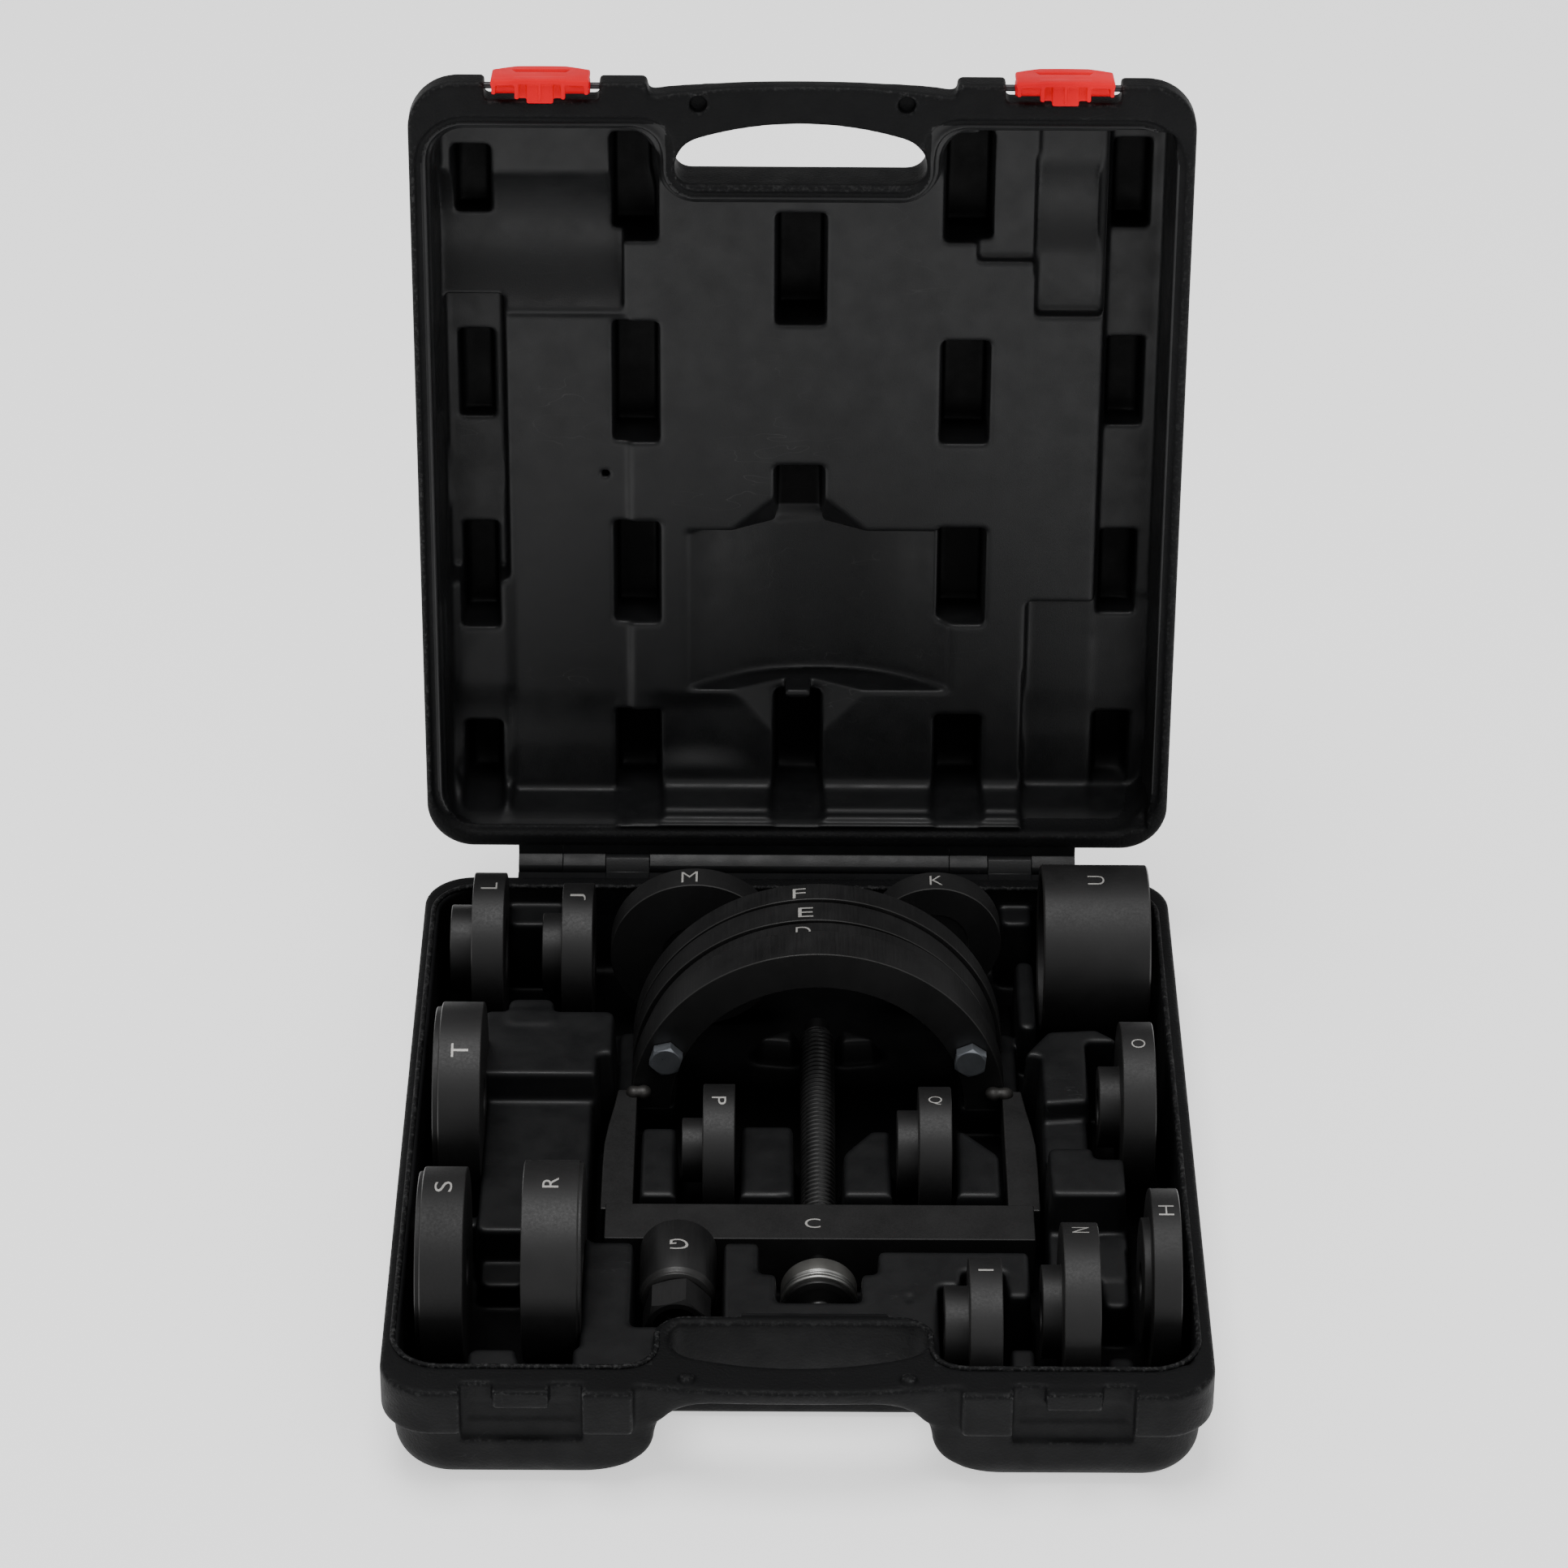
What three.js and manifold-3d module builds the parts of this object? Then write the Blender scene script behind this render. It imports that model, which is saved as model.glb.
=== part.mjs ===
// Wheel hub and bearing puller kit in a hinged, double-walled carry case.
// Units are millimetres, +Z up, X to the right, Y towards the hinge side.
// While modelling, Y = 0 is the back edge of the base's rim and Z = 0 is the parting plane
// between base and lid. The finished group is moved so its origin is the centre of the base's underside.
import * as THREE from 'three';
import { mergeVertices } from 'three/addons/utils/BufferGeometryUtils.js';
import Module from 'manifold-3d';

const wasm = await Module();
wasm.setup();

// ---- driving dimensions -------------------------------------------------------------------
const W = 440, D = 486;              // plan size of the case
const BASE_H = 66, LID_H = 74;       // depth of each half
const FLANGE = 28.4;                 // height of the flange band of each half
const CORNER_R = 28;                 // plan corner radius
const WALL = 2.4;                    // skin thickness of the double wall
const OPEN_DEG = 94;                 // how far the lid stands open
const HINGE_Y = 12, HINGE_R = 7.2;   // hinge axis behind the rim edge, barrel radius
const PIN_R = 2.2, GAP = 0.3;        // hinge pins and running gap
const BAY = [-85, 80, -417];         // handle bay: x from, x to, back wall y
const IN = [-212, 210, -460, -14];   // inner edge of the rim
const FLOOR = -57;                   // tray floor
const PLATEAU = 38.5;                // depth of the lid's main land
const AXIS_X = 12, AXIS_Z = -38.5;   // puller axis
const RING_R = 107, RING_IN = 84;    // half rings
const RING_FRONT = -180.4;
const RINGS = [['half_ring_D', 36], ['half_ring_E', 19.6], ['half_ring_F', 16]];
const BOLT_PCR = 94, BOLT_ANG = 23;  // bolt circle radius and angle above the horizontal
const SPINDLE_R = 10;

// ---- helpers ------------------------------------------------------------------------------
const rad = (d) => d * Math.PI / 180;

function solidify(geo) {             // weld, drop shading data, face outwards
  let g = geo.index ? geo.clone() : geo.clone();
  for (const k of Object.keys(g.attributes)) if (k !== 'position') g.deleteAttribute(k);
  g = mergeVertices(g, 1e-3);
  const p = g.attributes.position, idx = Array.from(g.index.array), keep = [];
  const a = new THREE.Vector3(), b = new THREE.Vector3(), c = new THREE.Vector3();
  let vol = 0;
  for (let i = 0; i < idx.length; i += 3) {
    const [u, v, w] = [idx[i], idx[i + 1], idx[i + 2]];
    if (u === v || v === w || u === w) continue;
    keep.push(u, v, w);
    a.fromBufferAttribute(p, u); b.fromBufferAttribute(p, v); c.fromBufferAttribute(p, w);
    vol += a.dot(b.cross(c));
  }
  if (vol < 0) for (let i = 0; i < keep.length; i += 3) [keep[i], keep[i + 1]] = [keep[i + 1], keep[i]];
  g.setIndex(keep);
  return g;
}

function toSolid(geo) {
  const g = solidify(geo);
  return new wasm.Manifold(new wasm.Mesh({
    numProp: 3,
    vertProperties: new Float32Array(g.attributes.position.array),
    triVerts: new Uint32Array(g.index.array),
  }));
}

function toGeo(solid) {
  const m = solid.getMesh(), g = new THREE.BufferGeometry(), pos = [];
  for (let i = 0; i < m.vertProperties.length; i += m.numProp) {
    pos.push(m.vertProperties[i], m.vertProperties[i + 1], m.vertProperties[i + 2]);
  }
  g.setAttribute('position', new THREE.Float32BufferAttribute(pos, 3));
  g.setIndex(Array.from(m.triVerts));
  return g;
}

function box(x0, x1, y0, y1, z0, z1) {
  const g = new THREE.BoxGeometry(x1 - x0, y1 - y0, z1 - z0);
  g.translate((x0 + x1) / 2, (y0 + y1) / 2, (z0 + z1) / 2);
  return g;
}

const block = (...a) => toSolid(box(...a));

// closed profile of [radius, height] pairs turned about Z, X or Y through a centre
function turned(profile, axis, centre, segs = 20) {
  const pts = profile.map(([r, h]) => new THREE.Vector2(r, h));
  if (profile[0][0] > 0) pts.push(pts[0].clone());
  const g = new THREE.LatheGeometry(pts, segs);
  if (axis === 'x') g.rotateZ(-Math.PI / 2);
  if (axis === 'z') g.rotateX(Math.PI / 2);
  g.translate(...centre);
  return solidify(g);
}

function rod(r, len, axis, centre, segs = 16) {
  return turned([[0, -len / 2], [r, -len / 2], [r, len / 2], [0, len / 2]], axis, centre, segs);
}

function hexPrism(across, len, axis, centre, turn = 0) {
  const g = new THREE.CylinderGeometry(across / Math.sqrt(3), across / Math.sqrt(3), len, 6);
  g.rotateY(turn);
  if (axis === 'x') g.rotateZ(-Math.PI / 2);
  g.translate(...centre);
  return solidify(g);
}

// stack of rounded rectangles: rows of [z, inset]
function loft(rows) {
  const segs = 5, pos = [], idx = [], n = 4 * (segs + 1);
  for (const [z, inset] of rows) {
    const r = Math.max(CORNER_R - inset, 8);
    const hx = W / 2 - inset - r, y0 = -D + inset + r, y1 = -inset - r;
    [[hx, y1], [-hx, y1], [-hx, y0], [hx, y0]].forEach(([cx, cy], q) => {
      for (let i = 0; i <= segs; i++) {
        const t = rad(90 * q + 90 * i / segs);
        pos.push(cx + r * Math.cos(t), cy + r * Math.sin(t), z);
      }
    });
  }
  for (let k = 0; k + 1 < rows.length; k++) {
    for (let i = 0; i < n; i++) {
      const a = k * n + i, b = k * n + (i + 1) % n;
      idx.push(a, b, a + n, b, b + n, a + n);
    }
  }
  const last = (rows.length - 1) * n;
  for (let i = 1; i + 1 < n; i++) {
    idx.push(0, i + 1, i);
    idx.push(last, last + i, last + i + 1);
  }
  const g = new THREE.BufferGeometry();
  g.setAttribute('position', new THREE.Float32BufferAttribute(pos, 3));
  g.setIndex(idx);
  return toSolid(g);
}

function slab(points, z0, z1) {
  const s = new THREE.Shape(points.map(([x, y]) => new THREE.Vector2(x, y)));
  const g = new THREE.ExtrudeGeometry(s, { depth: z1 - z0, bevelEnabled: false });
  g.translate(0, 0, z0);
  return toSolid(g);
}

const join = (list) => list.reduce((a, b) => a.add(b));

const group = new THREE.Group();
group.name = 'hub_puller_kit';
const nodes = {};
function put(name, geo, [color, roughness, metalness]) {
  const mesh = new THREE.Mesh(geo, new THREE.MeshStandardMaterial({ color, roughness, metalness }));
  mesh.name = name;
  nodes[name] = mesh;
  group.add(mesh);
  return mesh;
}

const SHELL = [0x0c0c0d, 0.55, 0.0];      // black blow-moulded polyethylene
const RED = [0xb3201c, 0.4, 0.0];         // latch plastic
const BLACKED = [0x1b1b1c, 0.38, 0.9];    // black-oxide steel
const THREAD = [0x171717, 0.42, 0.9];
const ZINC = [0xb9b7ae, 0.32, 1.0];
const STEEL = [0xa9a8a3, 0.28, 1.0];
const PIN = [0x4a4a4a, 0.4, 1.0];

// ---- carry case ---------------------------------------------------------------------------
// hand hole shared by both halves: straight at the back, bowed towards the front
const handHole = [[-66, -420], [65, -420], [71, -427], [69, -440], [40, -455], [0, -463], [-40, -455],
  [-70, -440], [-72, -427]];
const grownHole = [[-68, -417], [67, -417], [74, -426], [72, -442], [41, -458], [0, -466], [-41, -458],
  [-73, -442], [-75, -426]];
const NOTCHES = [[-177, -113], [113, 177]];    // latch recesses, x ranges
const NOTCH_Y = -477;

// wells and lands of the tray: x from, x to, y from, y to, floor z
const trayCuts = [
  [IN[0], IN[1], -408, IN[3], -2], [IN[0], -78, IN[2], -407, -2], [73, IN[1], IN[2], -407, -2],
  [IN[0], -103, -136, IN[3], FLOOR], [-104, 128, -188, IN[3], FLOOR], [127, IN[1], -152, IN[3], FLOOR],
  [IN[0], -172, -292, -135, FLOOR], [IN[0], -173, IN[2], -300, FLOOR], [IN[0], -175, -301, -291, -35],
  [-174, -112, -319, -200, -21], [-174, -150, -341, -318, -42], [-174, -148, IN[2], -340, FLOOR],
  [-149, -111, -430, -313, FLOOR], [-113, -88, -330, -178, FLOOR], [114, 137, -330, -178, FLOOR],
  [-89, 115, -290, -187, -20], [-89, 115, -222, -187, FLOOR],
  [-67, -32, -286, -208, FLOOR], [53, 88.5, -286, -208, FLOOR], [-1, 25, -292, -221, -52],
  [-112, 137, -352, -289, FLOOR],
  [-118, 140, -404, -338, -8], [-118, -79, -456, -403, -8], [74, 140, -456, -403, -8],
  [-85, -43, -403, -326, -43.5], [-10.5, 35.5, -392, -322, -61], [-20, 43, -364, -343, FLOOR],
  [75, 112, -455, -368, FLOOR], [126, 164.5, -455, -348, FLOOR], [181, IN[1], IN[2], -322, FLOOR],
  [164, 182, -455, -312, -30], [137, 182, -349, -312, -30], [181, IN[1], -323, -271, -30],
  [138, 167, -262, -221, -15], [166, 206, -272, -165, FLOOR],
];
// pads under the ends of the half rings and the raised seat of the small cross-lying disc
const trayPads = [
  [-103.5, -68, -179.5, -104, -58.5, AXIS_Z - GAP], [92, 127.5, -179.5, -104, -58.5, AXIS_Z - GAP],
  [40, 90, -90, -30, -58.5, -41],
];

// wells and lands of the lid, depth measured away from the parting plane
const lidCuts = [
  [IN[0], IN[1], -408, IN[3], PLATEAU], [IN[0], -78, IN[2], -407, PLATEAU], [73, IN[1], IN[2], -407, PLATEAU],
  [-208, -170, -458, -18, 60], [-171, -103, -458, -316, 60], [-171, -108, -132, -18, 58],
  [-112, 139, -86, -18, 50], [138, 208, -132, -14.5, 60], [166, 208, -458, -131, 56],
  [134, 167, -458, -342, 50],
];
const wellRows = [[-198, -177, [[18, 62], [128, 188], [256, 312], [386, 433]]],
  [-108, -82, [[18, 71], [131, 196], [249, 324], [376, 441]]],
  [-14, 14, [[18, 70], [184, 233], [324, 392]]],
  [82, 109, [[18, 69], [131, 193], [249, 313], [376, 441]]],
  [177, 199, [[18, 66], [133, 188], [256, 312], [381, 435]]]];
const wells = wellRows.flatMap(([x0, x1, rows]) => rows.map(([a, b]) => [x0, x1, -b, -a, LID_H - 3]));

function ringRecess(grow) {          // half-round recess over the half rings
  const g = rod(RING_R + 2.5 + grow, 105 + 2 * grow, 'y', [AXIS_X, -138.5, AXIS_Z], 32);
  return toSolid(g);
}

// sign -1 builds the base (down from the parting plane), +1 the lid (up from it)
function caseHalf(sign, height, cuts, pads) {
  const f = (z) => sign * z;
  const order = (rows) => (sign < 0 ? rows.slice().reverse() : rows).map(([z, i]) => [f(z), i]);
  const flange = sign < 0 ? FLANGE : 26;
  const body = order([[0, 0], [flange, 0], [flange, 6], [height - 15, 8.5], [height - 6, 14], [height, 26]]);
  const core = order([[WALL, WALL], [flange - WALL, WALL], [flange - WALL, 6 + WALL],
    [height - 15.5, 8.5 + WALL], [height - 7.5, 14 + WALL], [height - WALL, 26]]);
  const bar = sign < 0 ? 13 : 20;    // thickness of the carrying bar
  const zspan = (a, b) => (sign < 0 ? [f(b), f(a)] : [f(a), f(b)]);
  const span = (x0, x1, y0, y1, a, b) => block(x0, x1, y0, y1, ...zspan(a, b));
  let solid = loft(body);
  let hollow = loft(core);
  const mouth = [];
  const grown = [];
  for (const [x0, x1, y0, y1, z] of cuts) {
    const depth = Math.abs(z);
    mouth.push(span(x0, x1, y0, y1, -1, depth));
    grown.push(span(x0 - WALL, x1 + WALL, y0 - WALL, y1 + WALL, -1, Math.min(depth + WALL, height)));
  }
  mouth.push(span(BAY[0], BAY[1], -D - 10, BAY[2], bar, height + 5));
  mouth.push(slab(handHole, -bar - 1, bar + 1));
  grown.push(span(BAY[0] - WALL, BAY[1] + WALL, -D - 10, BAY[2] + WALL, -1, height + 5));
  for (const [x0, x1] of NOTCHES) {
    mouth.push(span(x0, x1, -D - 10, NOTCH_Y, -1, sign < 0 ? 36 : 20));
    grown.push(span(x0 - WALL, x1 + WALL, -D - 10, NOTCH_Y + WALL, -1, sign < 0 ? 38.6 : 22.6));
  }
  if (sign > 0) { mouth.push(ringRecess(0).subtract(block(-300, 300, -300, 0, -300, 0))); grown.push(ringRecess(WALL)); }
  for (const [x0, x1, y0, y1, a, b] of pads) {
    grown.push(block(x0 - 0.01, x1 + 0.01, y0, y1, a, b));
  }
  solid = solid.subtract(join(mouth));
  if (pads.length) solid = solid.add(join(pads.map((p) => block(...p))));
  hollow = hollow.subtract(join(grown));
  const parts = hollow.decompose().sort((p, q) => vol(q) - vol(p));
  return [solid, parts[0]];
}
const vol = (s) => (s.volume ? s.volume() : s.getProperties().volume);

function knuckle(x0, x1, side) {     // side -1 hangs on the base, +1 on the lid
  const c = (x0 + x1) / 2, len = x1 - x0;
  const barrel = toSolid(rod(HINGE_R, len, 'x', [c, HINGE_Y, 0], 14));
  const web = side < 0 ? block(x0, x1, -4, HINGE_Y, -HINGE_R + 0.4, -0.4)
    : block(x0, x1, -4, HINGE_Y, 0.4, HINGE_R - 0.4);
  return barrel.add(web);
}
const pinBore = (x0, x1) => toSolid(rod(PIN_R + 0.14, x1 - x0, 'x', [(x0 + x1) / 2, HINGE_Y, 0], 14));
const PINS = [['hinge_pin_left', -160, -60], ['hinge_pin_right', 60, 160]];
const bores = PINS.map(([, x0, x1]) => pinBore(x0 - 0.3, x1 + 0.3));

const BASE_KNUCKLES = [[-114, -88], [114, 140]];
const LID_KNUCKLES = [[-166, -114.6], [-87.4, 113.4], [140.6, 166]];
const knuckleRoom = (list) => list.map(([x0, x1]) => [x0 - 0.6, x1 + 0.6]);

// base
let [base, baseCore] = caseHalf(-1, BASE_H, trayCuts, trayPads);
base = base.subtract(baseCore);
for (const [x0, x1] of BASE_KNUCKLES) base = base.add(knuckle(x0, x1, -1));
for (const [x0, x1] of NOTCHES) {    // catch block the latch hooks under
  const c = (x0 + x1) / 2;
  base = base.add(block(c - 13, c + 13, -483.5, NOTCH_Y + 1, -12, -3));
}
for (const x of [-58, 58]) base = base.add(toSolid(rod(4, 5, 'z', [x, -474, 1.5], 12)));
base = base.subtract(join(bores)).subtract(toSolid(rod(2.5, 12, 'z', [-160, -250, -22], 8)));
put('case_base', toGeo(base), SHELL);

// lid, modelled closed and then swung open about the hinge axis
let [lid, lidCore] = caseHalf(1, LID_H, lidCuts.concat(wells), []);
lid = lid.subtract(lidCore);
for (const [x0, x1] of LID_KNUCKLES) lid = lid.add(knuckle(x0, x1, 1));
for (const x of [-58, 58]) lid = lid.subtract(toSolid(rod(4.6, 12, 'z', [x, -474, 0], 12)));
const LATCH_PIVOT = [-482.3, 7];
const PIVOT_R = 1.9;
for (const [x0, x1] of NOTCHES) {
  lid = lid.subtract(toSolid(rod(PIVOT_R + 0.05, x1 - x0 + 5, 'x', [(x0 + x1) / 2, ...LATCH_PIVOT], 12)));
}
lid = lid.subtract(join(bores)).subtract(toSolid(rod(2.5, 12, 'z', [-113, -227, PLATEAU], 8)));

function openLid(g) {
  g.translate(0, -HINGE_Y, 0);
  g.rotateX(-rad(OPEN_DEG));
  g.translate(0, HINGE_Y, 0);
  return g;
}
put('case_lid', openLid(toGeo(lid)), SHELL);
for (const [name, x0, x1] of PINS) put(name, rod(PIN_R, x1 - x0, 'x', [(x0 + x1) / 2, HINGE_Y, 0], 14), PIN);

// latches: plate outside the front wall, barrel on the pivot bar, hook reaching in under the catch
NOTCHES.forEach(([x0, x1], i) => {
  const side = i ? 'right' : 'left', c = (x0 + x1) / 2, half = 27;
  const [py, pz] = LATCH_PIVOT;
  const lip = slab([[c - half + 6, -492.5], [c + half - 6, -492.5], [c + half, -489.5], [c + half, -486.8],
    [c - half, -486.8], [c - half, -489.5]], -20, 11.4);
  let latch = lip.add(block(c - half, c + half, -487.5, -482.3, 2.6, 11.4));
  latch = latch.add(toSolid(rod(4.6, 2 * half, 'x', [c, py, pz], 14)));
  latch = latch.add(block(c - 13.5, c + 13.5, -487.5, -484.6, -20, 3));
  latch = latch.add(block(c - 13.5, c + 13.5, -487.5, -480.6, -20, -14.6));
  latch = latch.subtract(toSolid(rod(PIVOT_R + GAP / 2, 60, 'x', [c, py, pz], 12)));
  // the latch stands a few degrees off the catch
  const ease = (g) => { g.translate(0, -py, -pz); g.rotateX(-rad(8)); g.translate(0, py, pz); return openLid(g); };
  put(`latch_${side}`, ease(toGeo(latch)), RED);
  put(`latch_pivot_${side}`, openLid(rod(PIVOT_R, x1 - x0 + 4, 'x', [c, py, pz], 12)), PIN);
});

// ---- puller frame -------------------------------------------------------------------------
const BAR = [-106, 131, -324.5, -293, AXIS_Z - 17, AXIS_Z + 17];
const throughBar = toSolid(rod(SPINDLE_R + 0.2, 60, 'y', [AXIS_X, -308, AXIS_Z], 20));
put('crossbar_C', toGeo(block(...BAR).subtract(throughBar)), BLACKED);

const LEG_Z = [AXIS_Z - 13, AXIS_Z + 13];
[['left', -1], ['right', 1]].forEach(([side, s]) => {
  const inner = s < 0 ? -91 : 117;
  const back = RING_FRONT - GAP, front = BAR[3] + GAP;
  const edge = [[0, back], [11, back], [13, -197], [17.5, -232], [18, -265], [18, front], [0, front]];
  const pts = edge.map(([w, y]) => [inner + s * w, y]);
  const leg = slab(pts, ...LEG_Z);
  const bead = [0, 1, 2].map((k) => {
    const b = new THREE.IcosahedronGeometry(4.6 - 0.5 * k, 0);
    b.translate(inner + s * (1.5 - 3 * k), back - 4.6, LEG_Z[1] + 1.2 - 1.3 * k);
    return toSolid(b);
  });
  put(`side_leg_${side}`, toGeo(join([leg, ...bead])), BLACKED);
});

function halfRing(y0, thick) {
  const s = new THREE.Shape();
  s.absarc(0, 0, RING_R, 0, Math.PI, false);
  s.absarc(0, 0, RING_IN, Math.PI, 0, true);
  const g = new THREE.ExtrudeGeometry(s, { depth: thick, bevelEnabled: false, curveSegments: 18 });
  g.rotateX(Math.PI / 2);            // ring plane upright, thickness along -Y
  g.translate(AXIS_X, y0 + thick, AXIS_Z);
  return toSolid(g);
}
const boltAt = [['left', 180 - BOLT_ANG], ['right', BOLT_ANG]].map(([side, a]) =>
  [side, AXIS_X + BOLT_PCR * Math.cos(rad(a)), AXIS_Z + BOLT_PCR * Math.sin(rad(a))]);
let ringY = RING_FRONT;
for (const [name, thick] of RINGS) {
  let r = halfRing(ringY + GAP / 2, thick - GAP);
  for (const [, x, z] of boltAt) r = r.subtract(toSolid(rod(5.3, 120, 'y', [x, -140, z], 12)));
  put(name, toGeo(r), BLACKED);
  ringY += thick;
}
for (const [side, x, z] of boltAt) {
  const head = toSolid(hexPrism(17, 7, 'y', [x, RING_FRONT - GAP - 3.4, z], 0.3));
  const shank = toSolid(rod(5, 90, 'y', [x, RING_FRONT + 43, z], 12));
  put(`ring_bolt_${side}`, toGeo(head.add(shank)), ZINC);
  const nut = toSolid(hexPrism(17, 8, 'y', [x, ringY + 5, z], 0.2));
  put(`ring_nut_${side}`, toGeo(nut.subtract(toSolid(rod(5.3, 20, 'y', [x, ringY + 5, z], 12)))), ZINC);
}

// forcing spindle with its collar, thrust bearing between collar and crossbar
const HEAD_Y = -367;
const spindle = turned([[0, -388], [11.5, -388], [11.5, -380], [14, -380], [15, -377], [20.4, -377],
  [20.4, HEAD_Y], [SPINDLE_R, HEAD_Y], [SPINDLE_R, -112], [7.5, -108], [7.5, -100], [0, -100]],
'y', [AXIS_X, 0, AXIS_Z], 24);
put('spindle_A', spindle, THREAD);
put('thrust_bearing', turned([[SPINDLE_R + 0.4, -362], [21, -362], [21, -346], [SPINDLE_R + 0.4, -346]],
  'y', [AXIS_X, 0, AXIS_Z], 28), STEEL);
put('thrust_washer', turned([[SPINDLE_R + 0.4, -366.6], [21.4, -366.6], [21.4, -362.4],
  [SPINDLE_R + 0.4, -362.4]], 'y', [AXIS_X, 0, AXIS_Z], 28), STEEL);

// sleeve nut lying in its own well: barrel with a hexagon nose, bored right through
{
  const gx = -64, gz = -25;
  const barrel = turned([[11.5, -377], [17.2, -377], [18.2, -375.5], [18.2, -331], [17, -330],
    [11.5, -330]], 'y', [gx, 0, gz], 24);
  const nose = toSolid(hexPrism(31, 21.4, 'y', [gx, -387.5, gz], 0.18));
  const bore = toSolid(rod(11.5, 80, 'y', [gx, -370, gz], 24));
  put('sleeve_nut_G', toGeo(toSolid(barrel).add(nose.subtract(bore))), BLACKED);
}

// ---- hub and bearing adapters -------------------------------------------------------------
// letter, axis, position along the axis of the flange (from, to), boss end, flange r, boss r,
// then the other two centre coordinates (y, z or x, z)
const BORE = 10.5;
const ADAPTERS = [
  ['L', 'x', -189.1, -170.5, -202.4, 45, 26, -59.9, -12], ['J', 'x', -137.2, -119.1, -149.1, 41, 23.3, -57.4, -16],
  ['T', 'x', -199.2, -175.9, -206, 53.5, 48.5, -219.4, -3], ['S', 'x', -200.7, -177.9, -204.4, 53.5, 49.6, -373.8, -3],
  ['R', 'x', -146.9, -119.3, -114.5, 54.5, 51.4, -370.5, -2], ['P', 'x', -52.5, -34.8, -64.3, 37, 18, -246.3, -19.5],
  ['Q', 'x', 67.6, 85.8, 55.8, 37, 23.8, -248, -19.5], ['I', 'x', 91.3, 108.7, 78.3, 40, 24.8, -411.9, -16.5],
  ['N', 'x', 143.4, 160.9, 130.4, 46, 25.1, -401.5, -10.5], ['H', 'x', 191.5, 204.6, 184.9, 49.5, 33.8, -378.3, -7],
  ['O', 'x', 181, 199.3, 169.2, 48, 22.8, -218.6, -8.5], ['M', 'y', -72.7, -55, -45, 49.7, 24, -59.3, -7],
  ['K', 'y', -66, -48.5, -38, 38.5, 20, 81, -2],
];
for (const [name, axis, a, b, c, r, rb, u, v] of ADAPTERS) {
  const lo = Math.min(a, b), hi = Math.max(a, b), k = 1.2;
  const body = [[BORE, lo], [r - k, lo], [r, lo + k], [r, hi - k], [r - k, hi], [BORE, hi]];
  const prof = c < lo ? [[BORE, c], [rb, c], [rb, lo], ...body.slice(1)]
    : [...body.slice(0, -1), [rb, hi], [rb, c], [BORE, c]];
  put(`adapter_${name}`, turned(prof, axis, axis === 'x' ? [0, u, v] : [u, 0, v], 18), BLACKED);
}
// the long ring sleeve
put('sleeve_U', turned([[44, 142.7], [48.6, 142.7], [50, 144.5], [50, 203], [48.6, 204.7], [44, 204.7]],
  'x', [0, -65.4, -6.7], 26), BLACKED);

group.children.forEach((m) => m.geometry.translate(0, D / 2, BASE_H));
export default group;
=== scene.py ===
"""A wheel hub and bearing puller kit in an open, double-walled carry case.
"""

import math

import bmesh
import bpy
import numpy as np
from mathutils import Matrix, Vector


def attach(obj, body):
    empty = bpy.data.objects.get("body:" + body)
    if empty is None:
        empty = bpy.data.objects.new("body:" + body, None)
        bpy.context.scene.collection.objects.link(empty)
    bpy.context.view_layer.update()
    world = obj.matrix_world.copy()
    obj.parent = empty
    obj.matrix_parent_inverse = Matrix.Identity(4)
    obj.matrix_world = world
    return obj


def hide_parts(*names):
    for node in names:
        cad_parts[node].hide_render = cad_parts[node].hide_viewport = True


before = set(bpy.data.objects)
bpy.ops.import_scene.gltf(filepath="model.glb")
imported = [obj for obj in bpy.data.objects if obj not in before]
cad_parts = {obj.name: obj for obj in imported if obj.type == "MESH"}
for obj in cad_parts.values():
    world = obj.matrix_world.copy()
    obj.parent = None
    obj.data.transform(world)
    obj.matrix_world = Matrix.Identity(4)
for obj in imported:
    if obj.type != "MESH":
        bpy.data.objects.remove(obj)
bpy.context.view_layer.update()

MM = 0.001
SHIFT = np.array([0.0, 243.0, 66.0])     # kit frame to row frame, mm
OPEN = math.radians(94)
HINGE = (12.0, 0.0)                      # hinge axis y, z
BASE_H, LID_H = 66.0, 74.0
AXIS_X, AXIS_Z = 12.0, -38.5             # puller axis
VOXEL = 1.25      # grid of the moulded surfaces, mm
LATCH_VOXEL = 0.55

# plan rectangles: x from and to, y from and to, corner radius
RIM_PLAN = (-220, 220, -486, 0, 28)
BODY_PLAN = (-214, 214, -480, -6, 32)
SEAL_PLAN = (-212, 210, -461, -14, 24)   # the rim's inner edge
JOG_PLAN = (-77, 73, -540, -417, 18)     # where it steps back round the handle
JOG_BLEND = 21
BEAD_R, BEAD_OUT, BEAD_Z = 1.6, 2.4, 0.1     # seal bead: radius, how far outside that edge, height
BASE_FLANGE, LID_FLANGE = 28.4, 16       # depth of the band round each half
BASE_BAR, LID_BAR = 10.5, 15             # depth of each half's carrying bar
FLOOR = -57                              # height of most of the tray's pocket floors
NOTCHES = ((-177, -113), (113, 177))     # x spans of the latch recesses
STUDS, STUD_Y = (-58, 58), -474
LATCHES = (("left", -145.0), ("right", 145.0))
LATCH_Y, LATCH_Z = -482.3, 7.0           # latch pivots
EASE = math.radians(8)                   # how far the latches stand off their catches
SLEEVE_U = (-65.4, -6.7, 50)             # axis y and z, radius
RING_R, RING_IN = 107.0, 84.0
RING_FRONT, RING_BACK = -180.4, -108.8
BASE_SPANS = ((-114, -88), (114, 140))   # x spans of the hinge barrels
BARREL_R, END_R = 7.2, 6.5               # barrel radius where halves interleave, and elsewhere
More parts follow.
